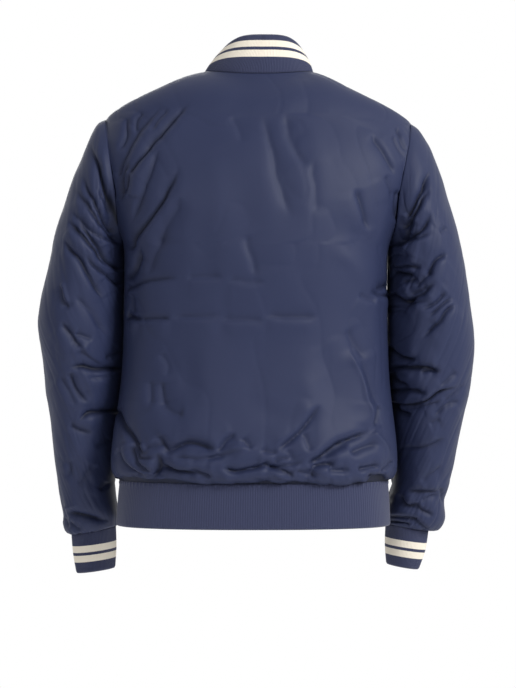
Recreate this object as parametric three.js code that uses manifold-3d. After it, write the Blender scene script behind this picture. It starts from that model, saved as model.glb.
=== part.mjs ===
// A navy bomber jacket as it is worn, with its zip closed: a shell of lightly wadded cloth in five panels,
// and a collar, cuffs and hem band of rib knit.
//
// Millimetres, +Z up. The front faces -Y and the wearer's left is +X. The origin is at the base of the neck,
// midway between the two points where the shoulder seams meet the collar.
//
// Each cloth piece is a wall. A grid of points gives its outer face, and the same grid moved in by the
// thickness of the cloth gives its inner face. Two pieces that meet take their edges from one seam curve,
// and each stops half a gap short of it.

import * as THREE from "three";
import Module from "manifold-3d";

const wasm = await Module();
wasm.setup();

// ---- driving dimensions ----

const SHELL = 3; // shell cloth with its wadding
const KNIT = 2.6; // rib knit, doubled
const HALF_GAP = 0.15; // half of the gap at a seam
const QUARTER = Math.PI / 2;

const NECK_HALF_WIDTH = 77;
const SHOULDER_POINT = { x: 217, z: -68 }; // outer end of the shoulder seam
const UNDERARM_POINT = { x: 185, z: -250 };
const SHOULDER_CURVE = 1.3; // how the shoulder seam falls towards its outer end
const SHOULDER_SHARE = 2 / 3; // part of a panel's columns that end on the shoulder seam

// The body below the underarm, from the hem seam up: height, half-width at the side seam, depth of the back
// and of the front, roundness of the section (2 is an ellipse), and where the front edge at the zip lies,
// which hangs straight while the cloth beside it bags over the hem seam.
const BODY_LEVELS = [
  { z: -579, side: 188, back: 126, front: 119, round: 2.5, edgeZ: -579, edge: 119 },
  { z: -582.5, side: 193, back: 132.5, front: 126, round: 2.5, edgeZ: -576, edge: 119.6 },
  { z: -581, side: 198, back: 139.5, front: 133, round: 2.5, edgeZ: -571.5, edge: 120.6 },
  { z: -572, side: 201, back: 145, front: 139, round: 2.5, edgeZ: -564, edge: 122.4 },
  { z: -556, side: 201.5, back: 147, front: 142, round: 2.5, edgeZ: -551, edge: 125.5 },
  { z: -534, side: 200.3, back: 145, front: 142, round: 2.5, edgeZ: -531, edge: 129.5 },
  { z: -507, side: 197.5, back: 140, front: 140, round: 2.5, edgeZ: -506, edge: 133 },
  { z: -475, side: 193, back: 134, front: 138, round: 2.5, edgeZ: -475, edge: 135 },
  { z: -435, side: 188.6, back: 129.5, front: 136, round: 2.5, edgeZ: -435, edge: 135.4 },
  { z: -390, side: 186.4, back: 128, front: 135, round: 2.5, edgeZ: -390, edge: 135 },
  { z: -345, side: 185.6, back: 130.5, front: 136, round: 2.5, edgeZ: -345, edge: 136 },
  { z: -303, side: 185.4, back: 134.5, front: 136, round: 2.5, edgeZ: -303, edge: 136 },
  { z: -266, side: 185.2, back: 137.4, front: 135, round: 2.5, edgeZ: -266, edge: 135 },
  { z: -250, side: 185, back: 138, front: 134, round: 2.5, edgeZ: -250, edge: 134 },
];

// The chest and shoulder blades, above the underarm. The half-width follows from the armhole.
const CHEST_LEVELS = [
  { z: -250, back: 138, front: 134, round: 2.5 },
  { z: -190, back: 134.5, front: 128, round: 2.45 },
  { z: -130, back: 122, front: 112, round: 2.4 },
  { z: -100, back: 110.5, front: 96, round: 2.35 },
  { z: -68, back: 97, front: 74, round: 2.3 },
];

// What differs between the back and the two fronts. middleTop is how high the row through the shoulder
// point lies at the centre. neckUp and neckIn are the directions of the cloth and of the collar's foot at
// the centre of the neckline.
const BACK = {
  depth: "back",
  facing: 1,
  centre: 0,
  armholeDepth: 70,
  middleTop: -68,
  neckDepth: 58,
  neckDrop: 8,
  neckCurve: 2,
  neckUp: { y: -0.57, z: 0.82 },
  neckIn: { y: 0.92, z: 0.39 },
};
const FRONT = {
  depth: "front",
  facing: -1,
  centre: 5,
  armholeDepth: 62,
  middleTop: -108,
  neckDepth: 88,
  neckDrop: 88,
  neckCurve: 1.6,
  neckUp: { y: 0.45, z: 0.89 },
  neckIn: { y: 0.99, z: 0.13 },
};
const NECK_SIDE_IN = { x: 0.44, z: 0.9 }; // direction of the collar's foot at the shoulder seam

// The collar's upper edge, by the angle round the neck from the centre back. The band is 57 mm high at the
// back and narrows to 39 mm at the zip.
const COLLAR_TOP = [
  { angle: 0, x: 0, y: 46, z: 48.5 },
  { angle: 20, x: 18.5, y: 43, z: 48.5 },
  { angle: 40, x: 34, y: 33, z: 47 },
  { angle: 60, x: 46, y: 14.5, z: 42.5 },
  { angle: 80, x: 54.5, y: -9, z: 35.5 },
  { angle: 100, x: 58.5, y: -33, z: 27 },
  { angle: 120, x: 57, y: -57, z: 13 },
  { angle: 140, x: 45.5, y: -78, z: -16 },
  { angle: 160, x: 28, y: -93, z: -40 },
  { angle: 180, x: 6, y: -98, z: -50 },
];
const COLLAR_BULGE = 2.5;
const COLLAR_CORNER = 0.62; // height of the collar's cut-off corner at the zip, as a share of the band

// The hem band, from its lower edge up.
const HEM_LEVELS = [
  { z: -642, side: 192.5, back: 125, front: 117, round: 2.5 },
  { z: -622, side: 191.5, back: 125.8, front: 117.8, round: 2.5 },
  { z: -599, side: 190, back: 126.2, front: 118.6, round: 2.5 },
  { z: -579, side: 188, back: 126, front: 119, round: 2.5 },
];

// The sleeves, from the armhole down to the cuff seam. Each section runs from a point on the inner side to
// one on the outer side; middle is how far back its centre line lies, and back and front are its depths.
const ARMHOLE_SECTION = {
  innerX: UNDERARM_POINT.x,
  innerZ: UNDERARM_POINT.z,
  outerX: SHOULDER_POINT.x,
  outerZ: SHOULDER_POINT.z,
  middle: 0,
  back: BACK.armholeDepth,
  front: FRONT.armholeDepth,
};
const SLEEVE_LEFT = [
  ARMHOLE_SECTION,
  { innerX: 186, innerZ: -252.5, outerX: 227, outerZ: -73.5, middle: 1, back: 71, front: 63 },
  { innerX: 186.3, innerZ: -255.5, outerX: 235, outerZ: -86, middle: 2, back: 72.5, front: 65 },
  { innerX: 186.5, innerZ: -259.5, outerX: 242, outerZ: -102, middle: 3, back: 74, front: 67 },
  { innerX: 186.6, innerZ: -265, outerX: 250.5, outerZ: -123, middle: 4, back: 75.5, front: 69 },
  { innerX: 186.6, innerZ: -272, outerX: 261.5, outerZ: -150, middle: 5, back: 77, front: 71 },
  { innerX: 186.6, innerZ: -281, outerX: 271.5, outerZ: -182, middle: 6, back: 78.5, front: 73 },
  { innerX: 186.6, innerZ: -293, outerX: 281, outerZ: -218, middle: 6, back: 79.5, front: 75 },
  { innerX: 186.6, innerZ: -309, outerX: 289.5, outerZ: -258, middle: 6, back: 80, front: 76 },
  { innerX: 186.8, innerZ: -330, outerX: 299, outerZ: -304, middle: 5, back: 80, front: 76 },
  { innerX: 187, innerZ: -354, outerX: 307, outerZ: -347, middle: 4, back: 79, front: 76 },
  { innerX: 187.5, innerZ: -382, outerX: 306, outerZ: -379, middle: 1, back: 78, front: 75 },
  { innerX: 188.6, innerZ: -412, outerX: 302, outerZ: -412, middle: -3, back: 76, front: 74 },
  { innerX: 190.9, innerZ: -446, outerX: 298.5, outerZ: -448, middle: -9, back: 74, front: 72 },
  { innerX: 195.4, innerZ: -482, outerX: 294, outerZ: -486, middle: -16, back: 71, front: 70 },
  { innerX: 200.3, innerZ: -520, outerX: 290, outerZ: -523, middle: -23, back: 68, front: 67 },
  { innerX: 202.9, innerZ: -556, outerX: 287, outerZ: -559.5, middle: -30, back: 65, front: 64 },
  { innerX: 204, innerZ: -594.5, outerX: 283, outerZ: -597, middle: -37, back: 61, front: 60 },
  { innerX: 201, innerZ: -623, outerX: 278, outerZ: -628, middle: -42, back: 56, front: 55 },
  { innerX: 200, innerZ: -638, outerX: 278.5, outerZ: -645.5, middle: -45, back: 52, front: 51 },
  { innerX: 200.5, innerZ: -648, outerX: 274, outerZ: -659, middle: -46, back: 45, front: 44 },
  { innerX: 204, innerZ: -650, outerX: 266.5, outerZ: -660.5, middle: -47, back: 37, front: 37 },
];
const SLEEVE_RIGHT = [
  ARMHOLE_SECTION,
  { innerX: 186, innerZ: -252.5, outerX: 227, outerZ: -76, middle: 1, back: 71, front: 63 },
  { innerX: 186.3, innerZ: -255.5, outerX: 235, outerZ: -88, middle: 2, back: 72.5, front: 65 },
  { innerX: 186.5, innerZ: -259.5, outerX: 243.5, outerZ: -103, middle: 3, back: 74, front: 67 },
  { innerX: 186.6, innerZ: -265, outerX: 252.5, outerZ: -125, middle: 4, back: 75.5, front: 69 },
  { innerX: 186.6, innerZ: -272, outerX: 262.5, outerZ: -153, middle: 5, back: 77, front: 71 },
  { innerX: 186.6, innerZ: -281, outerX: 271.5, outerZ: -185, middle: 6, back: 78.5, front: 73 },
  { innerX: 186.6, innerZ: -293, outerX: 282, outerZ: -221, middle: 6, back: 79.5, front: 75 },
  { innerX: 186.6, innerZ: -309, outerX: 291, outerZ: -261, middle: 6, back: 80, front: 76 },
  { innerX: 186.8, innerZ: -330, outerX: 299, outerZ: -306, middle: 5, back: 80, front: 76 },
  { innerX: 187, innerZ: -354, outerX: 305.5, outerZ: -346, middle: 4, back: 79, front: 76 },
  { innerX: 187.5, innerZ: -382, outerX: 310, outerZ: -382, middle: 1, back: 78, front: 75 },
  { innerX: 188.6, innerZ: -412, outerX: 309.5, outerZ: -414, middle: -3, back: 76, front: 74 },
  { innerX: 190.9, innerZ: -446, outerX: 306, outerZ: -450, middle: -9, back: 74, front: 72 },
  { innerX: 195.4, innerZ: -482, outerX: 299.5, outerZ: -486, middle: -16, back: 71, front: 70 },
  { innerX: 200.3, innerZ: -520, outerX: 294.5, outerZ: -521, middle: -23, back: 68, front: 67 },
  { innerX: 202.9, innerZ: -554, outerX: 289.5, outerZ: -555.5, middle: -30, back: 65, front: 64 },
  { innerX: 202, innerZ: -586.5, outerX: 283, outerZ: -587.5, middle: -37, back: 61, front: 60 },
  { innerX: 197.5, innerZ: -611, outerX: 278.5, outerZ: -612, middle: -42, back: 57, front: 56 },
  { innerX: 195, innerZ: -632, outerX: 280.5, outerZ: -638.5, middle: -45, back: 53, front: 52 },
  { innerX: 193.5, innerZ: -644, outerX: 271.5, outerZ: -655, middle: -46, back: 46, front: 45 },
  { innerX: 196.5, innerZ: -646, outerX: 257, outerZ: -656.5, middle: -47, back: 37, front: 37 },
];

// The cuffs below their seams.
const CUFF_LEFT = [
  SLEEVE_LEFT.at(-1),
  { innerX: 203.5, innerZ: -680.5, outerX: 264.5, outerZ: -689, middle: -51, back: 36, front: 36 },
  { innerX: 205.5, innerZ: -711, outerX: 260, outerZ: -718, middle: -55, back: 33, front: 33 },
];
const CUFF_RIGHT = [
  SLEEVE_RIGHT.at(-1),
  { innerX: 196.5, innerZ: -675.5, outerX: 253.5, outerZ: -685, middle: -51, back: 36, front: 36 },
  { innerX: 199.5, innerZ: -705.5, outerX: 245, outerZ: -712.5, middle: -55, back: 33, front: 33 },
];

// The largest folds of each piece, seen from its own side: where a fold starts and ends, how deep it lies
// (a ridge is negative) and how wide it is. A sleeve's folds are written as on the wearer's left.
const BACK_FOLDS = [
  { x: 190, z: -150, toX: 139, toZ: -84, depth: 3, width: 13 },
  { x: 174, z: -256, toX: 106, toZ: -154, depth: 3, width: 14 },
  { x: 25, z: -160, toX: 22, toZ: -250, depth: 2, width: 22 },
  { x: 130, z: -443, toX: 92, toZ: -481, depth: 3, width: 13 },
  { x: 182, z: -478, toX: 135, toZ: -533, depth: 4, width: 14 },
  { x: 117, z: -536, toX: 57, toZ: -527, depth: 3, width: 13 },
  { x: -40, z: -524, toX: -91, toZ: -479, depth: 3, width: 16 },
  { x: -92, z: -545, toX: -154, toZ: -506, depth: 4.5, width: 14 },
  { x: -117, z: -387, toX: -146, toZ: -450, depth: -3, width: 13 },
  { x: -148, z: -462, toX: -176, toZ: -515, depth: -3.5, width: 13 },
];
const FRONT_LEFT_FOLDS = [
  { x: 186, z: -165, toX: 140, toZ: -112, depth: 3, width: 13 },
  { x: 172, z: -252, toX: 112, toZ: -192, depth: 3, width: 14 },
  { x: 165, z: -482, toX: 120, toZ: -535, depth: 4, width: 14 },
  { x: 108, z: -515, toX: 62, toZ: -546, depth: 3, width: 13 },
];
const FRONT_RIGHT_FOLDS = [
  { x: -182, z: -176, toX: -150, toZ: -108, depth: 3, width: 13 },
  { x: -170, z: -262, toX: -104, toZ: -214, depth: 3.5, width: 14 },
  { x: -150, z: -420, toX: -112, toZ: -470, depth: 3, width: 14 },
  { x: -158, z: -505, toX: -96, toZ: -543, depth: 4, width: 14 },
];
const SLEEVE_LEFT_FOLDS = {
  back: [
    { x: 227, z: -106, toX: 209, toZ: -168, depth: 4, width: 12 },
    { x: 209, z: -168, toX: 193, toZ: -214, depth: 4, width: 12 },
    { x: 249, z: -221, toX: 198, toZ: -270, depth: 5, width: 13 },
    { x: 257, z: -253, toX: 207, toZ: -324, depth: 4, width: 12 },
    { x: 262, z: -369, toX: 230, toZ: -384, depth: 3.5, width: 12 },
    { x: 207, z: -480, toX: 249, toZ: -500, depth: 4, width: 13 },
    { x: 252, z: -624, toX: 212, toZ: -629, depth: 3.5, width: 10 },
  ],
  front: [
    { x: 206, z: -262, toX: 247, toZ: -204, depth: 4, width: 13 },
    { x: 202, z: -334, toX: 262, toZ: -306, depth: 4, width: 12 },
    { x: 205, z: -376, toX: 268, toZ: -398, depth: 5, width: 12 },
    { x: 210, z: -470, toX: 258, toZ: -452, depth: 4, width: 13 },
    { x: 215, z: -566, toX: 262, toZ: -580, depth: 3, width: 12 },
  ],
};
const SLEEVE_RIGHT_FOLDS = {
  back: [
    { x: 200, z: -246, toX: 243, toZ: -153, depth: 6, width: 12 },
    { x: 197, z: -292, toX: 219, toZ: -300, depth: 5, width: 10 },
    { x: 201, z: -325, toX: 231, toZ: -312, depth: 4, width: 12 },
    { x: 231, z: -312, toX: 263, toZ: -268, depth: 4, width: 12 },
    { x: 240, z: -373, toX: 277, toZ: -329, depth: 4, width: 12 },
    { x: 200, z: -400, toX: 255, toZ: -424, depth: 3, width: 12 },
    { x: 206, z: -473, toX: 234, toZ: -473, depth: 4, width: 12 },
    { x: 234, z: -473, toX: 281, toZ: -448, depth: 4, width: 12 },
  ],
  front: [
    { x: 208, z: -254, toX: 252, toZ: -214, depth: 4, width: 13 },
    { x: 204, z: -320, toX: 258, toZ: -288, depth: 5, width: 12 },
    { x: 206, z: -392, toX: 262, toZ: -374, depth: 5, width: 12 },
    { x: 212, z: -486, toX: 266, toZ: -500, depth: 4, width: 13 },
  ],
};

const BACK_COLUMNS = 24; // round the whole back; each front has half as many
const ARMHOLE_ROWS = 8; // from the underarm to the shoulder point, so a sleeve has twice as many columns
const YOKE_ROWS = 4; // above the row through the shoulder point
const YOKE_REACH = 1.15; // how full the cloth bends over the shoulder, as a share of the straight way
const ZIP_HANG = 75; // width beside the zip in which a front eases from its straight edge into its full form

// ---- small tools ----

const { lerp, clamp, smoothstep, degToRad } = THREE.MathUtils;
const vector = (x, y, z) => new THREE.Vector3(x, y, z);

// The whole jacket leans a little to the wearer's left from the neck down, as its wearer stands, and its
// collar to the right, where the shoulder hangs lower. Below the underarms its sides and sleeves are turned
// a little too, their back parts outwards.
//
// Each change sets in between fromX and toX, out from the centre, and between fromDown and toDown, down from
// the neck.
const LEAN = 0.0125;
const COLLAR_LEAN = 0.15;
const TURN = { most: 0.1, fromX: 100, toX: 180, fromDown: 170, toDown: 240 };
const DROP = { most: 6, fromX: 75, toX: 150, fromDown: 60, toDown: 200 };

function swayed({ x, y, z }) {
  const turned = smoothstep(Math.abs(x), TURN.fromX, TURN.toX) * smoothstep(-z, TURN.fromDown, TURN.toDown);
  const dropped = smoothstep(-x, DROP.fromX, DROP.toX) * (1 - smoothstep(-z, DROP.fromDown, DROP.toDown));
  const lean = z < 0 ? -LEAN * z : -COLLAR_LEAN * z;
  return vector(x + lean + Math.sign(x) * TURN.most * turned * y, y, z - DROP.most * dropped);
}

// The value of a table's column at a position between its rows, on a smooth curve through them.
function onCurve(rows, column, position) {
  const last = rows.length - 1;
  const first = clamp(Math.floor(position), 0, last - 1);
  const value = (i) => rows[clamp(i, 0, last)][column];
  const [before, start, end, after] = [value(first - 1), value(first), value(first + 1), value(first + 2)];
  const [leave, arrive] = [(end - before) / 2, (after - start) / 2];
  const t = clamp(position - first, 0, 1);
  const [s, rest] = [t * t, (1 - t) ** 2];
  return start * (1 + 2 * t) * rest + leave * t * rest + end * s * (3 - 2 * t) - arrive * s * (1 - t);
}

// The position in a table where one of its rising columns has a value.
function positionOf(rows, column, wanted) {
  const last = rows.length - 1;
  const next = rows.findIndex((row, i) => i > 0 && row[column] >= wanted);
  const i = next < 0 ? last : next;
  const [low, high] = [rows[i - 1][column], rows[i][column]];
  return i - 1 + clamp((wanted - low) / (high - low), 0, 1);
}

function hermite(start, leave, end, arrive, t) {
  return start
    .clone()
    .multiplyScalar((1 + 2 * t) * (1 - t) ** 2)
    .addScaledVector(leave, t * (1 - t) ** 2)
    .addScaledVector(end, t * t * (3 - 2 * t))
    .addScaledVector(arrive, -t * t * (1 - t));
}

// ---- the armhole: two half-ellipses in one plane, from the underarm (turn 0) up to the shoulder ----

const ARMHOLE = {
  x: (UNDERARM_POINT.x + SHOULDER_POINT.x) / 2,
  z: (UNDERARM_POINT.z + SHOULDER_POINT.z) / 2,
  halfX: (SHOULDER_POINT.x - UNDERARM_POINT.x) / 2,
  halfZ: (SHOULDER_POINT.z - UNDERARM_POINT.z) / 2,
};
const ARMHOLE_HALF = Math.hypot(ARMHOLE.halfX, ARMHOLE.halfZ);
const ARMHOLE_UP = vector(ARMHOLE.halfX / ARMHOLE_HALF, 0, ARMHOLE.halfZ / ARMHOLE_HALF);
const ARMHOLE_OUT = vector(ARMHOLE_UP.z, 0, -ARMHOLE_UP.x); // away from the body

const armholePoint = (half, turn) =>
  vector(
    ARMHOLE.x - ARMHOLE.halfX * Math.cos(turn),
    half.facing * half.armholeDepth * Math.sin(turn),
    ARMHOLE.z - ARMHOLE.halfZ * Math.cos(turn),
  );

const armholeInward = (half, turn) =>
  ARMHOLE_UP.clone()
    .multiplyScalar(Math.cos(turn))
    .add(vector(0, -half.facing * Math.sin(turn), 0));

// ---- the body's form ----

// A point on a quarter of a rounded section; the angle is 0 at the side seam and 90 degrees at the centre.
function sectionPoint(half, z, side, depth, round, angle) {
  const across = Math.max(Math.cos(angle), 0) ** (2 / round);
  const out = Math.max(Math.sin(angle), 0) ** (2 / round);
  return vector(half.centre + (side - half.centre) * across, half.facing * depth * out, z);
}

// The level direction straight out of a rounded section at one of its points.
function sectionOutward(half, side, depth, round, point) {
  const width = side - half.centre;
  const across = Math.max((point.x - half.centre) / width, 0) ** (round - 1) / width;
  const out = (Math.abs(point.y) / depth) ** (round - 1) / depth;
  return vector(across, half.facing * out, 0).normalize();
}

function bodyPoint(half, level, angle) {
  const at = (column) => onCurve(BODY_LEVELS, column, level * (BODY_LEVELS.length - 1));
  const depth = at(half.depth);
  const point = sectionPoint(half, at("z"), at("side"), depth, at("round"), angle);
  if (half === FRONT) {
    const nearZip = 1 - smoothstep(point.x - half.centre, 0, ZIP_HANG);
    point.y += (depth - at("edge")) * nearZip;
    point.z += (at("edgeZ") - at("z")) * nearZip;
  }
  return point;
}

// The chest and shoulder-blade form, whose sections pass through the edge of the armhole.
function chestSection(half, z) {
  const position = positionOf(CHEST_LEVELS, "z", z);
  const depth = onCurve(CHEST_LEVELS, half.depth, position);
  const round = onCurve(CHEST_LEVELS, "round", position);
  const turn = Math.acos(clamp((ARMHOLE.z - z) / ARMHOLE.halfZ, -1, 1));
  const edge = armholePoint(half, turn);
  const share = (Math.abs(edge.y) / depth) ** round;
  const side = half.centre + (edge.x - half.centre) / (1 - share) ** (1 / round);
  return { depth, round, side, edgeAngle: Math.asin(Math.sqrt(share)) };
}

function chestPoint(half, z, angle) {
  const { depth, round, side } = chestSection(half, z);
  return sectionPoint(half, z, side, depth, round, angle);
}

// Height, at a share of the way from the armhole to the centre, of the row that leaves the armhole at a turn.
function rowHeight(half, turn, share) {
  const edgeZ = ARMHOLE.z - ARMHOLE.halfZ * Math.cos(turn);
  const climbed = (edgeZ - UNDERARM_POINT.z) / (SHOULDER_POINT.z - UNDERARM_POINT.z);
  const middleZ = lerp(UNDERARM_POINT.z, half.middleTop, climbed);
  return lerp(edgeZ, middleZ, smoothstep(share, 0, 1));
}

function armholeRowPoint(half, turn, share) {
  const edgeZ = ARMHOLE.z - ARMHOLE.halfZ * Math.cos(turn);
  const { edgeAngle } = chestSection(half, edgeZ);
  return chestPoint(half, rowHeight(half, turn, share), QUARTER * share + edgeAngle * (1 - share) ** 2);
}

// ---- shoulder seam and neckline ----

function shoulderPoint(share) {
  const x = lerp(SHOULDER_POINT.x, NECK_HALF_WIDTH, share);
  const out = (x - NECK_HALF_WIDTH) / (SHOULDER_POINT.x - NECK_HALF_WIDTH);
  return vector(x, 0, SHOULDER_POINT.z * out ** SHOULDER_CURVE);
}

// The neckline from the shoulder seam (turn 0) to the centre back, or to the zip (turn 90 degrees).
function neckPoint(half, turn) {
  return vector(
    half.centre + (NECK_HALF_WIDTH - half.centre) * Math.cos(turn),
    half.facing * half.neckDepth * Math.sin(turn),
    -half.neckDrop * Math.sin(turn) ** half.neckCurve,
  );
}

// At a point of the neckline, the direction into the jacket and the one up out of the seam.
function neckFrame(half, turn) {
  const step = 1e-3;
  const before = neckPoint(half, Math.max(turn - step, 0));
  const along = neckPoint(half, Math.min(turn + step, QUARTER)).sub(before).normalize();
  const rise = Math.sin(turn);
  const inward = vector(
    -NECK_SIDE_IN.x * Math.cos(turn),
    -half.facing * half.neckIn.y * rise,
    -lerp(NECK_SIDE_IN.z, half.neckIn.z, rise),
  );
  inward.addScaledVector(along, -inward.dot(along)).normalize();
  const up = along.clone().cross(inward);
  return { inward, up: up.z < 0 ? up.negate() : up };
}

function topPoint(half, share) {
  if (share <= SHOULDER_SHARE) return shoulderPoint(share / SHOULDER_SHARE);
  return neckPoint(half, (QUARTER * (share - SHOULDER_SHARE)) / (1 - SHOULDER_SHARE));
}

// From the row through the shoulder point, each column bends over to the shoulder seam or the neckline.
function yokePoint(half, climb, share) {
  const z = rowHeight(half, Math.PI, share);
  const angle = QUARTER * share;
  const start = chestPoint(half, z, angle);
  const end = topPoint(half, share);
  const reach = YOKE_REACH * start.distanceTo(end);
  const justBelow = chestPoint(half, z - 2, angle);
  const leave = start.clone().sub(justBelow).setLength(reach);
  const toNeck = smoothstep(share, SHOULDER_SHARE, 1);
  const arrive = vector(0, lerp(-half.facing, half.neckUp.y, toNeck), lerp(0, half.neckUp.z, toNeck));
  return hermite(start, leave, end, arrive.setLength(reach), climb);
}

// A point of a body panel, on the wearer's left half. level runs from 0 at the hem seam to 1 at the
// underarm, 2 at the shoulder point and 3 at the top; share runs from the side to the centre.
function panelPoint(half, level, share) {
  if (level <= 1) return bodyPoint(half, level, QUARTER * share);
  if (level <= 2) return armholeRowPoint(half, Math.PI * (level - 1), share);
  return yokePoint(half, level - 2, share);
}

// ---- folds ----

// How deep the folds press the cloth in at a point, seen along Y.
function foldDepth(folds, point) {
  return folds.reduce((sum, { x, z, toX, toZ, depth, width }) => {
    const reach = (point.x - x) * (toX - x) + (point.z - z) * (toZ - z);
    const t = clamp(reach / ((toX - x) ** 2 + (toZ - z) ** 2), 0, 1);
    const away = Math.hypot(point.x - lerp(x, toX, t), point.z - lerp(z, toZ, t));
    return sum + depth * Math.exp(-((away / width) ** 2));
  }, 0);
}

// ---- walls ----

// Unit vectors straight out of a grid of points, whose rows run left to right seen from outside.
function gridNormals(points, around) {
  const rows = points.length;
  const columns = points[0].length;
  const column = (c) => (around ? (c + columns) % columns : clamp(c, 0, columns - 1));
  return points.map((row, r) =>
    row.map((_, c) => {
      const along = row[column(c + 1)].clone().sub(row[column(c - 1)]);
      const up = points[Math.min(r + 1, rows - 1)][c].clone().sub(points[Math.max(r - 1, 0)][c]);
      return along.cross(up).normalize();
    }),
  );
}

// A closed wall. press(row, column) is how deep a fold lies there, inward(row, column, outward) gives the
// direction in which each point is moved for the inner face, and shift(row, column) moves both faces away
// from a seam.
function wallGeometry({ points: smooth, around = false, thickness, inward, shift, press = () => 0 }) {
  const smoothNormals = gridNormals(smooth, around);
  const points = smooth.map((row, r) =>
    row.map((point, c) => point.clone().addScaledVector(smoothNormals[r][c], -press(r, c))),
  );
  const normals = gridNormals(points, around);
  const outer = points.map((row, r) => row.map((point, c) => point.clone().add(shift(r, c))));
  const inner = outer.map((row, r) =>
    row.map((point, c) => point.clone().addScaledVector(inward(r, c, normals[r][c]), thickness)),
  );
  const corners = [];
  const triangle = (a, b, c) => {
    const least = Math.min(a.distanceTo(b), b.distanceTo(c), c.distanceTo(a));
    if (least > 0.01) [a, b, c].forEach((p) => corners.push(...swayed(p).toArray()));
  };
  const quad = (a, b, c, d) => {
    const cutAC = a.distanceTo(c) <= b.distanceTo(d);
    triangle(a, b, cutAC ? c : d);
    if (cutAC) triangle(a, c, d);
    else triangle(b, c, d);
  };
  const lastRow = points.length - 1;
  const columns = points[0].length;
  const lastColumn = around ? columns : columns - 1;
  for (let r = 0; r < lastRow; r++) {
    for (let c = 0; c < lastColumn; c++) {
      const d = (c + 1) % columns;
      quad(outer[r][c], outer[r][d], outer[r + 1][d], outer[r + 1][c]);
      quad(inner[r][d], inner[r][c], inner[r + 1][c], inner[r + 1][d]);
    }
  }
  for (let c = 0; c < lastColumn; c++) {
    const d = (c + 1) % columns;
    quad(outer[0][d], outer[0][c], inner[0][c], inner[0][d]);
    quad(outer[lastRow][c], outer[lastRow][d], inner[lastRow][d], inner[lastRow][c]);
  }
  for (let r = 0; r < lastRow && !around; r++) {
    quad(outer[r][0], outer[r + 1][0], inner[r + 1][0], inner[r][0]);
    quad(outer[r + 1][lastColumn], outer[r][lastColumn], inner[r][lastColumn], inner[r + 1][lastColumn]);
  }
  return new THREE.BufferGeometry().setAttribute("position", new THREE.Float32BufferAttribute(corners, 3));
}

const mirror = (side, point) => vector(side * point.x, point.y, point.z);
const still = () => vector(0, 0, 0);

// ---- back and fronts ----

const range = (count) => Array.from({ length: count + 1 }, (_, i) => i / count);
const PANEL_LEVELS = [
  ...range(BODY_LEVELS.length - 1),
  ...range(ARMHOLE_ROWS).slice(1).map((t) => 1 + t),
  ...range(YOKE_ROWS).slice(1).map((t) => 2 + t),
];
const HALF_SHARES = range(BACK_COLUMNS / 2);

// The direction into the jacket along the hem seam, a little upwards, and that seam's columns.
const HEM_IN = { level: 0.86, up: 0.5 };

function hemInward(half, share) {
  const { side, round, [half.depth]: depth } = BODY_LEVELS[0];
  const point = sectionPoint(half, 0, side, depth, round, QUARTER * share);
  const outward = sectionOutward(half, side, depth, round, point);
  return outward.multiplyScalar(-HEM_IN.level).add(vector(0, 0, HEM_IN.up)).normalize();
}

// columns holds a share and a side (1 is the wearer's left) for each column, left to right from outside.
function panelGeometry(half, columns, folds) {
  const points = PANEL_LEVELS.map((level) =>
    columns.map(({ share, side }) => mirror(side, panelPoint(half, level, share))),
  );
  const top = PANEL_LEVELS.length - 1;
  const neckTurn = (share) => (QUARTER * (share - SHOULDER_SHARE)) / (1 - SHOULDER_SHARE);
  const onNeck = (r, share) => r === top && share > SHOULDER_SHARE - 1e-9;
  const armholeTurn = (level) => Math.PI * clamp(level - 1, 0, 1);

  const inward = (r, c, outward) => {
    const { share, side } = columns[c];
    const level = PANEL_LEVELS[r];
    if (r === 0) return mirror(side, hemInward(half, share));
    if (onNeck(r, share)) return mirror(side, neckFrame(half, neckTurn(share)).inward);
    if (share === 0 && level >= 1) return mirror(side, armholeInward(half, armholeTurn(level)));
    const direction = outward.clone().negate();
    if (share === 0 || r === top) direction.y = 0;
    if (half === FRONT && share === 1) direction.x = 0;
    return direction.normalize();
  };

  const shift = (r, c) => {
    const { share, side } = columns[c];
    const level = PANEL_LEVELS[r];
    const moved = still();
    const onSideSeam = share === 0 && (level <= 1 || level >= 2);
    const onShoulder = r === top && share <= SHOULDER_SHARE + 1e-9;
    if (onSideSeam || onShoulder) moved.y += half.facing * HALF_GAP;
    if (share === 0 && level >= 1) moved.addScaledVector(ARMHOLE_OUT, -HALF_GAP);
    if (onNeck(r, share)) moved.addScaledVector(neckFrame(half, neckTurn(share)).up, -HALF_GAP);
    if (r === 0) moved.z += HALF_GAP;
    return mirror(side, moved);
  };

  const lastColumn = columns.length - 1;
  const press = (r, c) => (r % top && c % lastColumn ? foldDepth(folds, points[r][c]) : 0);
  return wallGeometry({ points, thickness: SHELL, inward, shift, press });
}

const LEFT_SHARES = HALF_SHARES.map((share) => ({ share, side: 1 }));
const RIGHT_SHARES = HALF_SHARES.map((share) => ({ share, side: -1 }));
const BACK_ROUND = [...LEFT_SHARES, ...RIGHT_SHARES.slice(0, -1).reverse()];
const FRONT_LEFT_ACROSS = [...LEFT_SHARES].reverse();

// ---- sleeves and cuffs ----

const TUBE_COLUMNS = 2 * ARMHOLE_ROWS;

function sleeveInward(section) {
  return (turn) => {
    const toOuter = vector(section.outerX - section.innerX, 0, section.outerZ - section.innerZ).normalize();
    return toOuter.multiplyScalar(Math.cos(turn)).add(vector(0, -Math.sin(turn), 0));
  };
}

// A point of a sleeve section; the turn runs from the inner side round the back.
function sleevePoint(section, turn) {
  const inner = vector(section.innerX, 0, section.innerZ);
  const outer = vector(section.outerX, 0, section.outerZ);
  const point = inner.lerp(outer, (1 - Math.cos(turn)) / 2);
  const depth = Math.sin(turn) >= 0 ? section.back : section.front;
  point.y = section.middle + depth * Math.sin(turn);
  return point;
}

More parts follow.
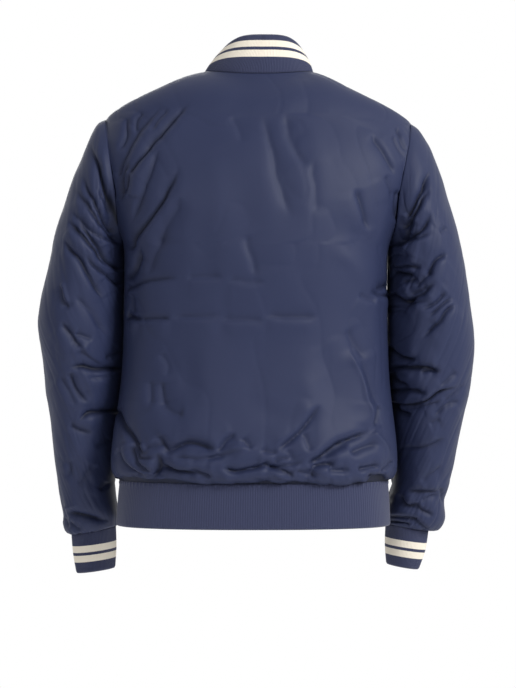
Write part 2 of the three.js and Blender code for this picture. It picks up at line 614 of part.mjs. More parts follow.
// A sleeve or a cuff as a tube. Its ends have their own directions into the wall, shared with the next piece.
function tubeGeometry({ sections, side, thickness, endInward, endShift, folds = { back: [], front: [] } }) {
  const turns = Array.from({ length: TUBE_COLUMNS }, (_, i) => (2 * Math.PI * i) / TUBE_COLUMNS);
  if (side < 0) turns.reverse();
  const points = sections.map((section) => turns.map((turn) => mirror(side, sleevePoint(section, turn))));
  const last = sections.length - 1;
  const inward = (r, c, outward) => {
    const end = endInward[r === 0 ? "top" : r === last ? "bottom" : "none"];
    return end ? mirror(side, end(turns[c])) : outward.clone().negate();
  };
  const shift = (r) => mirror(side, r === 0 ? endShift.top : r === last ? endShift.bottom : still());
  const press = (r, c) => {
    const facing = Math.sin(turns[c]);
    const seen = folds[facing > 0 ? "back" : "front"];
    return r % last ? Math.sqrt(Math.abs(facing)) * foldDepth(seen, mirror(side, points[r][c])) : 0;
  };
  return wallGeometry({ points, around: true, thickness, inward, shift, press });
}

// The direction into a cuff seam: towards the middle of the arm and a little up.
function cuffSeamInward(section) {
  const level = sleeveInward(section);
  return (turn) => level(turn).multiplyScalar(HEM_IN.level).add(vector(0, 0, HEM_IN.up)).normalize();
}

const sleeveGeometry = (sections, side, folds) =>
  tubeGeometry({
    sections,
    side,
    folds,
    thickness: SHELL,
    endInward: { top: sleeveInward(ARMHOLE_SECTION), bottom: cuffSeamInward(sections.at(-1)) },
    endShift: { top: ARMHOLE_OUT.clone().multiplyScalar(HALF_GAP), bottom: vector(0, 0, HALF_GAP) },
  });

const cuffGeometry = (sections, side) =>
  tubeGeometry({
    sections,
    side,
    thickness: KNIT,
    endInward: { top: cuffSeamInward(sections[0]) },
    endShift: { top: vector(0, 0, -HALF_GAP), bottom: still() },
  });

// ---- hem band ----

const ROUND_THE_HEM = [
  ...FRONT_LEFT_ACROSS.map((column) => ({ ...column, half: FRONT })),
  ...BACK_ROUND.slice(1, -1).map((column) => ({ ...column, half: BACK })),
  ...RIGHT_SHARES.map((column) => ({ ...column, half: FRONT })),
];

function hemGeometry() {
  const points = HEM_LEVELS.map((level) =>
    ROUND_THE_HEM.map(({ share, side, half }) =>
      mirror(side, sectionPoint(half, level.z, level.side, level[half.depth], level.round, QUARTER * share)),
    ),
  );
  const top = HEM_LEVELS.length - 1;
  const inward = (r, c, outward) => {
    const { share, side, half } = ROUND_THE_HEM[c];
    if (r === top) return mirror(side, hemInward(half, share));
    const direction = outward.clone().negate();
    if (c === 0 || c === ROUND_THE_HEM.length - 1) direction.x = 0;
    return direction.normalize();
  };
  const shift = (r) => vector(0, 0, r === top ? -HALF_GAP : 0);
  return wallGeometry({ points, thickness: KNIT, inward, shift });
}

// ---- collar ----

const COLLAR_ROWS = 3;
const COLLAR_END_SHARE = 0.7; // where the corner starts, from the last column but one to the end

// One column of the collar: its foot on the neckline, its upper edge and its directions at the seam.
function collarColumn(half, turn, side) {
  const round = half === BACK ? QUARTER - turn : QUARTER + turn;
  const position = positionOf(COLLAR_TOP, "angle", THREE.MathUtils.radToDeg(round));
  const top = vector(...["x", "y", "z"].map((column) => onCurve(COLLAR_TOP, column, position)));
  const { inward, up } = neckFrame(half, turn);
  return {
    foot: mirror(side, neckPoint(half, turn)),
    top: mirror(side, top),
    inward: mirror(side, inward),
    up: mirror(side, up),
    reach: 1,
  };
}

function mixColumns(a, b, t) {
  const mix = (key) => a[key].clone().lerp(b[key], t);
  return { foot: mix("foot"), top: mix("top"), inward: mix("inward"), up: mix("up"), reach: 1 };
}

function collarColumns() {
  const parts = Math.round((BACK_COLUMNS / 2) * (1 - SHOULDER_SHARE));
  const turns = range(parts).map((t) => t * QUARTER);
  const leftFront = turns.toReversed().map((turn) => collarColumn(FRONT, turn, 1));
  const leftBack = turns.slice(1).map((turn) => collarColumn(BACK, turn, 1));
  const rightBack = turns.toReversed().slice(1).map((turn) => collarColumn(BACK, turn, -1));
  const rightFront = turns.slice(1).map((turn) => collarColumn(FRONT, turn, -1));
  const columns = [...leftFront, ...leftBack, ...rightBack, ...rightFront];
  const atStart = mixColumns(columns[1], columns[0], COLLAR_END_SHARE);
  const atEnd = mixColumns(columns.at(-2), columns.at(-1), COLLAR_END_SHARE);
  columns[0].reach = COLLAR_CORNER;
  columns.at(-1).reach = COLLAR_CORNER;
  return [columns[0], atStart, ...columns.slice(1, -1), atEnd, columns.at(-1)];
}

function collarGeometry() {
  const columns = collarColumns();
  const points = range(COLLAR_ROWS).map((rise) =>
    columns.map(({ foot, top, inward, reach }) => {
      const t = rise * reach;
      return foot.clone().lerp(top, t).addScaledVector(inward, -COLLAR_BULGE * 4 * t * (1 - t));
    }),
  );
  const inward = (r, c, outward) => {
    if (r === 0) return columns[c].inward.clone();
    const direction = outward.clone().negate();
    if (c === 0 || c === columns.length - 1) direction.x = 0;
    return direction.normalize();
  };
  const shift = (r, c) => (r === 0 ? columns[c].up.clone().multiplyScalar(HALF_GAP) : still());
  return wallGeometry({ points, thickness: KNIT, inward, shift });
}

// ---- zip ----

const TAPE = { inner: 3, outer: 13, depth: SHELL + 0.3, thickness: 1 };
const TEETH = { inner: HALF_GAP, outer: 2.7, depth: 2.5, thickness: 2.6 };
const ZIP_BOX_HEIGHT = 9;
const ZIP_FOOT = 1.5; // how far the zip stops short of the hem's lower edge
const ZIP_HEAD = 1.5; // and of the neckline
const SLIDER = { middle: 9, length: 10, width: 8.4, plate: 1.3, face: -0.9, back: -5.4, bridge: 3.2 };
const BAIL = { out: 0.5, inner: 1.4, outer: 2.4, width: 2 };
const PULL = {
  width: 7,
  length: 24,
  thickness: 1.2,
  bar: 0.8,
  eyeWidth: 3.2,
  eyeEnd: 3.1,
  corner: 1.6,
  tilt: 4,
};

// The line of the fronts' edges from the foot of the hem band up to the neckline.
function zipLine() {
  const hem = HEM_LEVELS.slice(0, -1).map((level) => vector(0, -level.front, level.z));
  const body = PANEL_LEVELS.map((level) => panelPoint(FRONT, level, 1).setX(0));
  return [...hem, ...body];
}

const ZIP_LINE = zipLine();
const ZIP_STEPS = ZIP_LINE.map((point, i) => (i ? point.distanceTo(ZIP_LINE[i - 1]) : 0));
const ZIP_LENGTH = ZIP_STEPS.reduce((sum, step) => sum + step, 0);

function zipPoint(distance) {
  let left = distance;
  let i = 1;
  while (i < ZIP_LINE.length - 1 && left > ZIP_STEPS[i]) left -= ZIP_STEPS[i++];
  return ZIP_LINE[i - 1].clone().lerp(ZIP_LINE[i], left / ZIP_STEPS[i]);
}

// Up the zip and out of it, at a distance from the foot.
function zipFrame(distance) {
  const step = 3;
  const below = zipPoint(Math.max(distance - step, 0));
  const up = zipPoint(Math.min(distance + step, ZIP_LENGTH)).sub(below).normalize();
  return { up, out: vector(0, -up.z, up.y) };
}

// A flat strip that follows the zip on one side.
function stripGeometry({ inner, outer, depth, thickness }, side, from, to) {
  const marks = [];
  let travelled = 0;
  for (const step of ZIP_STEPS) {
    travelled += step;
    if (travelled > from + 1 && travelled < to - 1) marks.push(travelled);
  }
  const across = side > 0 ? [inner, outer] : [-outer, -inner];
  const rows = [from, ...marks, to].map((distance) => ({ foot: zipPoint(distance), ...zipFrame(distance) }));
  const points = rows.map(({ foot, out }) =>
    across.map((x) => foot.clone().addScaledVector(out, -depth).setX(x)),
  );
  return wallGeometry({ points, thickness, inward: (r) => rows[r].out.clone().negate(), shift: still });
}

function solidOf(geometry) {
  const positions = (geometry.index ? geometry.toNonIndexed() : geometry).getAttribute("position");
  const corners = new Map();
  const places = [];
  const triVerts = new Uint32Array(positions.count);
  for (let i = 0; i < positions.count; i++) {
    const point = [positions.getX(i), positions.getY(i), positions.getZ(i)];
    const key = point.map((value) => value.toFixed(4)).join();
    if (!corners.has(key)) {
      corners.set(key, corners.size);
      places.push(...point);
    }
    triVerts[i] = corners.get(key);
  }
  return new wasm.Manifold(new wasm.Mesh({ numProp: 3, vertProperties: new Float32Array(places), triVerts }));
}

function geometryOf(solid) {
  const { vertProperties, triVerts } = solid.getMesh();
  const geometry = new THREE.BufferGeometry();
  geometry.setAttribute("position", new THREE.BufferAttribute(vertProperties, 3));
  geometry.setIndex(new THREE.BufferAttribute(triVerts, 1));
  return geometry;
}

const block = (width, height, depth, y, z) => new THREE.BoxGeometry(width, height, depth).translate(0, y, z);

// The slider in its own frame: +Y up the zip and +Z out of it. Two plates, the bridge between them and the
// loop that the pull tab hangs on.
function sliderGeometry() {
  const { length, width, plate, face, back, bridge } = SLIDER;
  const frontPlate = block(width, length, plate, 0, face - plate / 2);
  const backPlate = block(width, length, plate, 0, back - plate / 2);
  const between = block(bridge, bridge, face - back, (length - bridge) / 2, (face + back) / 2);
  const ring = new THREE.Shape().absarc(0, 0, BAIL.outer, 0, 2 * Math.PI);
  ring.holes.push(new THREE.Path().absarc(0, 0, BAIL.inner, 0, 2 * Math.PI));
  const loop = new THREE.ExtrudeGeometry(ring, { depth: BAIL.width, bevelEnabled: false, curveSegments: 16 });
  const turned = new THREE.Matrix4().makeBasis(vector(0, 1, 0), vector(0, 0, 1), vector(1, 0, 0));
  loop.translate(0, 0, -BAIL.width / 2).applyMatrix4(turned).translate(0, 0, BAIL.out);
  const pieces = [frontPlate, backPlate, between, loop];
  return geometryOf(pieces.map(solidOf).reduce((sum, piece) => sum.add(piece)));
}

// The pull tab, hanging down from the hinge line at its own origin.
function pullGeometry() {
  const { width, length, thickness, bar, eyeWidth, eyeEnd, corner } = PULL;
  const plate = new THREE.Shape();
  plate.moveTo(-width / 2, bar);
  plate.lineTo(-width / 2, corner - length);
  plate.absarc(corner - width / 2, corner - length, corner, Math.PI, 1.5 * Math.PI);
  plate.absarc(width / 2 - corner, corner - length, corner, 1.5 * Math.PI, 2 * Math.PI);
  plate.lineTo(width / 2, bar);
  const eye = new THREE.Path();
  eye.moveTo(-eyeWidth / 2, -bar);
  eye.lineTo(eyeWidth / 2, -bar);
  eye.lineTo(eyeWidth / 2, -eyeEnd);
  eye.lineTo(-eyeWidth / 2, -eyeEnd);
  plate.holes.push(eye);
  const solid = new THREE.ExtrudeGeometry(plate, { depth: thickness, bevelEnabled: false, curveSegments: 6 });
  return solid.translate(0, 0, -thickness / 2);
}

// ---- materials ----

const finish = (color, roughness, metalness = 0) =>
  new THREE.MeshStandardMaterial({ color, roughness, metalness });
const shellNavy = finish(0x2a2f4d, 0.55);
const knitNavy = finish(0x2e3452, 0.9);
const tapeNavy = finish(0x1d2138, 0.85);
const darkMetal = finish(0x4a4b50, 0.35, 0.9);

// ---- assembly ----

const jacket = new THREE.Group();

function add(name, geometry, material, parent = jacket) {
  const mesh = new THREE.Mesh(geometry, material);
  mesh.name = name;
  parent.add(mesh);
  return mesh;
}

add("back", panelGeometry(BACK, BACK_ROUND, BACK_FOLDS), shellNavy);
add("front_left", panelGeometry(FRONT, FRONT_LEFT_ACROSS, FRONT_LEFT_FOLDS), shellNavy);
add("front_right", panelGeometry(FRONT, RIGHT_SHARES, FRONT_RIGHT_FOLDS), shellNavy);
add("sleeve_left", sleeveGeometry(SLEEVE_LEFT, 1, SLEEVE_LEFT_FOLDS), shellNavy);
add("sleeve_right", sleeveGeometry(SLEEVE_RIGHT, -1, SLEEVE_RIGHT_FOLDS), shellNavy);
add("collar", collarGeometry(), knitNavy);
add("cuff_left", cuffGeometry(CUFF_LEFT, 1), knitNavy);
add("cuff_right", cuffGeometry(CUFF_RIGHT, -1), knitNavy);
add("hem_rib", hemGeometry(), knitNavy);

const zipHead = ZIP_LENGTH - ZIP_HEAD;
const sliderAt = ZIP_LENGTH - SLIDER.middle;
const teethFrom = ZIP_FOOT + ZIP_BOX_HEIGHT + 2 * HALF_GAP;
const teethTo = sliderAt + SLIDER.length / 2 - SLIDER.bridge - 2 * HALF_GAP;
for (const [name, side] of [["left", 1], ["right", -1]]) {
  add(`zip_tape_${name}`, stripGeometry(TAPE, side, ZIP_FOOT, zipHead), tapeNavy);
  add(`zip_teeth_${name}`, stripGeometry(TEETH, side, teethFrom, teethTo), darkMetal);
}
const boxSize = { ...TEETH, inner: -TEETH.outer };
add("zip_box", stripGeometry(boxSize, 1, ZIP_FOOT, ZIP_FOOT + ZIP_BOX_HEIGHT), darkMetal);

const sliderFrame = new THREE.Group();
const { up: zipUp, out: zipOut } = zipFrame(sliderAt);
const sliderPlace = zipPoint(sliderAt);
sliderFrame.applyMatrix4(new THREE.Matrix4().makeBasis(vector(1, 0, 0), zipUp, zipOut));
sliderFrame.position.copy(swayed(sliderPlace));
jacket.add(sliderFrame);
add("zip_slider", sliderGeometry(), darkMetal, sliderFrame);
const pull = add("zip_pull", pullGeometry(), darkMetal, sliderFrame);
pull.position.z = BAIL.out;
pull.rotation.x = degToRad(PULL.tilt);

export default jacket;
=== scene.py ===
# A navy bomber jacket in its worn form, seen from the back: thin shell cloth with its creases, collar, cuffs
# and hem band of rib knit, and a zip. The forms are those of the CAD part, in millimetres until the meshes
# are made; +Z is up, -Y the front and +X the wearer's left.

import math

import bpy
import numpy as np
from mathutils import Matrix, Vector


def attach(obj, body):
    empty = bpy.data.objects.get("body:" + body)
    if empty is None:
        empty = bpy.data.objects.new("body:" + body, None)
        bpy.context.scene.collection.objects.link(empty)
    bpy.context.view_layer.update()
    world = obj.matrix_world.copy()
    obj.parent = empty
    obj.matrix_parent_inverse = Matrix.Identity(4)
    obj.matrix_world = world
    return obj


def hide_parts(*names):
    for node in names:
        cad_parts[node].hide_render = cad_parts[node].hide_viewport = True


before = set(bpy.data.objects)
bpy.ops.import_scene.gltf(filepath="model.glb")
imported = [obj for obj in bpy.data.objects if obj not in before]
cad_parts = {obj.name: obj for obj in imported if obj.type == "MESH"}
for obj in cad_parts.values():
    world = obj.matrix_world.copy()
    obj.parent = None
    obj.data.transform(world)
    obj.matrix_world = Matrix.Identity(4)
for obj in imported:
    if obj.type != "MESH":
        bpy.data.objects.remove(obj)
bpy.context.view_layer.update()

MM = 0.001
QUARTER = math.pi / 2

# ---- driving dimensions, as in the part ----

SHELL = 2.2  # shell cloth, pressed thin
KNIT = 2.6  # rib knit, doubled

NECK_HALF_WIDTH = 77
SHOULDER_X, SHOULDER_Z = 217, -68
UNDERARM_X, UNDERARM_Z = 185, -250
SHOULDER_CURVE = 1.3
SHOULDER_SHARE = 2 / 3
YOKE_REACH = 1.15
ZIP_HANG = 75
LEAN, COLLAR_LEAN = 0.0125, 0.15
TURN, TURN_OUT, TURN_DOWN = 0.1, (100, 180), (170, 240)
DROP, DROP_OUT, DROP_DOWN = 6, (75, 150), (60, 200)


def table(columns, *rows):
    """Rows of numbers as one array for each named column."""
    return {name: np.array(values, float) for name, values in zip(columns.split(), zip(*rows))}


# The body below the underarm, from the hem seam up.
BODY = table(
    "z side back front round edge_z edge",
    (-579, 188, 126, 119, 2.5, -579, 119),
    (-582.5, 193, 132.5, 126, 2.5, -576, 119.6),
    (-581, 198, 139.5, 133, 2.5, -571.5, 120.6),
    (-572, 201, 145, 139, 2.5, -564, 122.4),
    (-556, 201.5, 147, 142, 2.5, -551, 125.5),
    (-534, 200.3, 145, 142, 2.5, -531, 129.5),
    (-507, 197.5, 140, 140, 2.5, -506, 133),
    (-475, 193, 134, 138, 2.5, -475, 135),
    (-435, 188.6, 129.5, 136, 2.5, -435, 135.4),
    (-390, 186.4, 128, 135, 2.5, -390, 135),
    (-345, 185.6, 130.5, 136, 2.5, -345, 136),
    (-303, 185.4, 134.5, 136, 2.5, -303, 136),
    (-266, 185.2, 137.4, 135, 2.5, -266, 135),
    (-250, 185, 138, 134, 2.5, -250, 134),
)
CHEST = table(
    "z back front round",
    (-250, 138, 134, 2.5),
    (-190, 134.5, 128, 2.45),
    (-130, 122, 112, 2.4),
    (-100, 110.5, 96, 2.35),
    (-68, 97, 74, 2.3),
)
BACK = dict(
    depth="back", facing=1, centre=0, armhole_depth=70, middle_top=-68,
    neck_depth=58, neck_drop=8, neck_curve=2, neck_up=(-0.57, 0.82), neck_in=(0.92, 0.39),
)
FRONT = dict(
    depth="front", facing=-1, centre=5, armhole_depth=62, middle_top=-108,
    neck_depth=88, neck_drop=88, neck_curve=1.6, neck_up=(0.45, 0.89), neck_in=(0.99, 0.13),
)
NECK_SIDE_IN = (0.44, 0.9)
COLLAR_TOP = table(
    "angle x y z",
    (0, 0, 46, 48.5),
    (20, 18.5, 43, 48.5),
    (40, 34, 33, 47),
    (60, 46, 14.5, 42.5),
    (80, 54.5, -9, 35.5),
    (100, 58.5, -33, 27),
    (120, 57, -57, 13),
    (140, 45.5, -78, -16),
    (160, 28, -93, -40),
    (180, 6, -98, -50),
)
COLLAR_BULGE = 2.5
COLLAR_CORNER = 0.62
HEM = table(
    "z side back front round",
    (-642, 192.5, 125, 117, 2.5),
    (-622, 191.5, 125.8, 117.8, 2.5),
    (-599, 190, 126.2, 118.6, 2.5),
    (-579, 188, 126, 119, 2.5),
)
SECTION = "inner_x inner_z outer_x outer_z middle back front"
ARMHOLE_SECTION = (UNDERARM_X, UNDERARM_Z, SHOULDER_X, SHOULDER_Z, 0, 70, 62)
SLEEVE_LEFT = table(
    SECTION,
    ARMHOLE_SECTION,
    (186, -252.5, 227, -73.5, 1, 71, 63),
    (186.3, -255.5, 235, -86, 2, 72.5, 65),
    (186.5, -259.5, 242, -102, 3, 74, 67),
    (186.6, -265, 250.5, -123, 4, 75.5, 69),
    (186.6, -272, 261.5, -150, 5, 77, 71),
    (186.6, -281, 271.5, -182, 6, 78.5, 73),
    (186.6, -293, 281, -218, 6, 79.5, 75),
    (186.6, -309, 289.5, -258, 6, 80, 76),
    (186.8, -330, 299, -304, 5, 80, 76),
    (187, -354, 307, -347, 4, 79, 76),
    (187.5, -382, 306, -379, 1, 78, 75),
    (188.6, -412, 302, -412, -3, 76, 74),
    (190.9, -446, 298.5, -448, -9, 74, 72),
    (195.4, -482, 294, -486, -16, 71, 70),
    (200.3, -520, 290, -523, -23, 68, 67),
    (202.9, -556, 287, -559.5, -30, 65, 64),
    (204, -594.5, 283, -597, -37, 61, 60),
    (201, -623, 278, -628, -42, 56, 55),
    (200, -638, 278.5, -645.5, -45, 52, 51),
    (200.5, -648, 274, -659, -46, 45, 44),
    (204, -650, 266.5, -660.5, -47, 37, 37),
)
SLEEVE_RIGHT = table(
    SECTION,
    ARMHOLE_SECTION,
    (186, -252.5, 227, -76, 1, 71, 63),
    (186.3, -255.5, 235, -88, 2, 72.5, 65),
    (186.5, -259.5, 243.5, -103, 3, 74, 67),
    (186.6, -265, 252.5, -125, 4, 75.5, 69),
    (186.6, -272, 262.5, -153, 5, 77, 71),
    (186.6, -281, 271.5, -185, 6, 78.5, 73),
    (186.6, -293, 282, -221, 6, 79.5, 75),
    (186.6, -309, 291, -261, 6, 80, 76),
    (186.8, -330, 299, -306, 5, 80, 76),
    (187, -354, 305.5, -346, 4, 79, 76),
    (187.5, -382, 310, -382, 1, 78, 75),
    (188.6, -412, 309.5, -414, -3, 76, 74),
    (190.9, -446, 306, -450, -9, 74, 72),
    (195.4, -482, 299.5, -486, -16, 71, 70),
    (200.3, -520, 294.5, -521, -23, 68, 67),
    (202.9, -554, 289.5, -555.5, -30, 65, 64),
    (202, -586.5, 283, -587.5, -37, 61, 60),
    (197.5, -611, 278.5, -612, -42, 57, 56),
    (195, -632, 280.5, -638.5, -45, 53, 52),
    (193.5, -644, 271.5, -655, -46, 46, 45),
    (196.5, -646, 257, -656.5, -47, 37, 37),
)
CUFF_LEFT = table(
    SECTION,
    (204, -650, 266.5, -660.5, -47, 37, 37),
    (203.5, -680.5, 264.5, -689, -51, 36, 36),
    (205.5, -711, 260, -718, -55, 33, 33),
)
CUFF_RIGHT = table(
    SECTION,
    (196.5, -646, 257, -656.5, -47, 37, 37),
    (196.5, -675.5, 253.5, -685, -51, 36, 36),
    (199.5, -705.5, 245, -712.5, -55, 33, 33),
)

# ---- creases ----

# Each crease is a row of its depth, width and kind, and then the x and z of the points its path goes through
# in a curve, seen straight from the back or the front, on cloth that hangs upright. It is pressed in by its
# depth (a ridge stands out and is negative) over its width.

# The kinds, FREE of edges, FROM an edge, TO an edge or FULL: how high the cloth is pushed up on the path's
# left (below zero, on its right), and over which shares of the path the crease begins and runs out.
FREE, FREE_RIGHT, FREE_FLAT = (0.5, 0.2, 0.25), (-0.5, 0.2, 0.25), (0, 0.2, 0.25)
FROM, FROM_RIGHT, FROM_FLAT = (0.5, 0.05, 0.35), (-0.5, 0.05, 0.35), (0, 0.05, 0.35)
TO, TO_RIGHT, TO_FLAT = (0.5, 0.35, 0.05), (-0.5, 0.35, 0.05), (0, 0.35, 0.05)
FULL = (0.5, 0.1, 0.1)

BACK_CREASES = [
    # from the left armhole, fanning up towards the neck
    (2.6, 5, FROM, 196, -156, 172, -100, 134, -54),
    (3.8, 5, FROM, 178, -153, 150, -115, 94, -50),
    (3.2, 4.5, FROM, 188, -186, 189, -158, 176, -132),
    (3.8, 4.5, FROM, 185, -178, 175, -150),
    (2.6, 6, FREE, 136, -116, 155, -168, 167, -224),
    (4.2, 5, TO_RIGHT, 106, -142, 132, -192, 172, -258),
    (2.2, 4.5, FREE, 183, -70, 185, -98, 197, -120),
    (1.8, 4, FREE, 169, -62, 171, -95),
    (1.6, 5, FREE, 151, -92, 127, -58),
    (1.8, 9, FREE, 106, -186, 126, -232, 134, -260),
    (3.4, 5.5, TO, 154, -252, 164, -284, 175, -296),
    (1.8, 8, FREE, 127, -230, 146, -294),
    # soft upright waves below the collar and between the shoulder blades
    (1, 8, FREE, 36, -68, 21, -112),
    (1.8, 8, FREE, -6, -64, -20, -120, -30, -165, -50, -220),
    (1.6, 8, FREE, -36, -66, -48, -112, -74, -150),
    (1.3, 8, FREE, -75, -130, -82, -214),
    (1.6, 8, FREE, 17, -236, -2, -298),
    # creases left by folding, straight across
    (2.8, 5, FROM, 176, -310, 140, -300, 108, -297),
    (1.4, 4, FREE, 100, -297, 44, -295),
    (1.2, 4, FREE, 42, -300, -14, -303),
    (4, 4, FROM, 175, -348, 152, -355),
    (2.6, 3.6, FREE, 158, -354, 116, -352),
    (1.5, 4, FREE, 118, -351, 46, -348),
    (1.6, 4, FREE, 50, -353, -14, -355),
    (2, 4, FREE, -10, -349, -88, -350),
    (2.2, 6, FREE, 168, -316, 164, -348),
    # the right side, from the armhole down
    (2.2, 4.5, FREE_RIGHT, -158, -88, -176, -122, -192, -152),
    (2, 4, FREE_RIGHT, -190, -76, -208, -118),
    (1.8, 4, FREE_RIGHT, -186, -90, -206, -128),
    (2.4, 5, FREE, -134, -172, -150, -234),
    (1.6, 5, FREE, -176, -152, -190, -186),
    (2.6, 4, FREE_FLAT, -197, -170, -190, -218),
    (2.8, 4, TO, -150, -315, -185, -319),
    (3.2, 5, TO, -162, -312, -184, -304),
    (1.6, 4, FREE, -138, -318, -160, -328),
    (1.8, 9, FREE, -122, -366, -148, -410),
    (-3, 5, FREE_FLAT, -126, -392, -138, -432, -158, -504),
    (-2.4, 5, FROM_FLAT, -157, -507, -188, -553),
    (1.8, 8, FREE, -140, -406, -165, -478),
    (2.6, 5, FREE, -167, -470, -160, -504),
    # over the bloused hem, left
    (1.1, 6, FREE, 130, -398, 119, -418, 122, -432),
    (1.8, 5, FREE, 129, -440, 124, -474),
    (1.6, 6, FREE, 141, -438, 140, -474),
    (2, 7, FREE, 129, -464, 116, -479, 95, -484),
    (3.8, 5, FROM, 193, -481, 168, -509, 150, -533, 129, -538),
    (3, 4, FREE_RIGHT, 161, -523, 148, -542, 130, -543),
    (3, 4, FROM_RIGHT, 164, -530, 150, -552, 135, -570),
    (3, 4, FROM_RIGHT, 184, -534, 166, -560, 142, -574),
    (4, 5, TO, 130, -535, 129, -552, 134, -572),
    (2.8, 4, FREE, 128, -512, 118, -540),
    (2.2, 7, FREE, 147, -530, 122, -523),
    (3.6, 5, FREE_RIGHT, 122, -536, 88, -520, 50, -531),
    (-2, 4, FREE_FLAT, 118, -538, 70, -538, 20, -530, -10, -532),
    (2.2, 4, FREE_FLAT, 116, -542, 60, -541, 14, -532),
    (2.6, 4, FREE_RIGHT, 52, -536, 42, -522, 24, -508),
    (2.2, 4, FREE, 18, -515, 4, -532),
    (4, 5, FREE_RIGHT, 132, -550, 106, -564, 76, -566),
    (2.4, 4, FREE_RIGHT, 88, -558, 57, -572),
    (1.6, 4, FREE, 64, -543, 40, -542),
    # over the bloused hem, middle and right
    (3.6, 4, FREE, 44, -556, 18, -563, -20, -551),
    (2, 4, FREE, -8, -531, -32, -534),
    (3.2, 4.5, FREE_RIGHT, -28, -532, -62, -506, -92, -470),
    (2, 5, FREE, -66, -507, -78, -535),
    (1.6, 4, FREE, -43, -530, -56, -548),
    (4.2, 4.5, FREE_RIGHT, -72, -554, -112, -526, -154, -504),
    (2.4, 4, FREE, -95, -544, -130, -522),
    (2.4, 6, FREE, -128, -538, -163, -521),
    (3.8, 5, FREE, -77, -558, -98, -552, -115, -556),
    (3, 4, TO_FLAT, -80, -556, -81, -573),
    (2.4, 5, FREE, -102, -563, -130, -559),
    (2.8, 6, FREE, -136, -562, -168, -557),
    (3, 4, TO_FLAT, -145, -571, -176, -576),
    (3.2, 4, FREE, -18, -558, -38, -561, -56, -572),
    (3, 4.5, FREE_FLAT, -12, -547, -26, -560),
    (2.2, 4, FREE, -18, -560, -70, -547),
    (2.2, 4, FREE, -25, -547, -50, -542),
    (2.2, 6, FREE_FLAT, -56, -561, -80, -571),
    (1.8, 4, TO, -168, -568, -188, -552),
]
# Broad soft folds that leave the back in planes: depth, width and path.
BACK_FOLDS = [
    (1.7, 19, -12, -95, -30, -160, -48, -250),
    (1.4, 22, 26, -126, 14, -200, 4, -280),
    (1.5, 18, 92, -186, 72, -260, 64, -345),
    (2.2, 15, 178, -294, 140, -236, 92, -186),
    (2, 15, -178, -298, -144, -248, -100, -206),
    (1.8, 18, 106, -372, 88, -440, 76, -504),
    (1.5, 22, -22, -360, -4, -420, 8, -476),
    (2.2, 16, -82, -362, -104, -430, -124, -504),
    (1.6, 15, 24, -450, -30, -488, -88, -492),
    (-2, 12, -98, -246, -130, -276, -158, -316),
    (-1.6, 16, -56, -420, -74, -460, -70, -500),
    (-1.5, 18, 60, -100, 56, -170, 40, -250),
    (1.3, 11, 44, -300, 46, -350, 38, -402),
    (1.6, 13, -150, -402, -164, -440, -166, -480),
]
FRONT_LEFT_CREASES = [
    (2.8, 7, FROM, 194, -164, 172, -128, 138, -92),
    (2.4, 7, FROM, 180, -236, 152, -186, 128, -152),
    (2.6, 8, FROM, 180, -268, 140, -228, 96, -206),
    (1.6, 8, FREE, 70, -116, 64, -170),
    (1.4, 12, FREE, 44, -210, 50, -310),
    (1.6, 5, FROM, 182, -352, 140, -356, 92, -352),
    (2.2, 7, FROM, 184, -424, 160, -432, 132, -452),
    (3.4, 8, FROM, 190, -478, 166, -512, 132, -534),
    (2.8, 7, FREE, 160, -548, 132, -560, 108, -574),
    (2.6, 7, FREE_RIGHT, 112, -520, 86, -536, 58, -540),
    (2.2, 6, FREE, 50, -516, 34, -536, 26, -560),
    (2.4, 6, FREE, 78, -560, 56, -568),
]
FRONT_RIGHT_CREASES = [
    (2.6, 7, FROM_RIGHT, -196, -170, -176, -132, -146, -96),
    (2.8, 8, FROM_RIGHT, -180, -250, -150, -206, -112, -164),
    (2, 8, FROM_RIGHT, -180, -290, -146, -250, -104, -232),
    (1.5, 9, FREE, -58, -126, -66, -188),
    (1.4, 12, FREE, -52, -230, -46, -320),
    (1.4, 4, FROM, -182, -356, -128, -353, -70, -356),
    (2.4, 8, FROM_RIGHT, -184, -410, -154, -434, -118, -470),
    (3.2, 8, FROM_RIGHT, -188, -494, -158, -520, -112, -544),
    (2.8, 7, FREE_RIGHT, -150, -552, -118, -566, -88, -572),
    (2.4, 7, FREE, -96, -508, -66, -528, -34, -534),
    (2.2, 6, FREE_RIGHT, -40, -520, -30, -548, -32, -566),
]
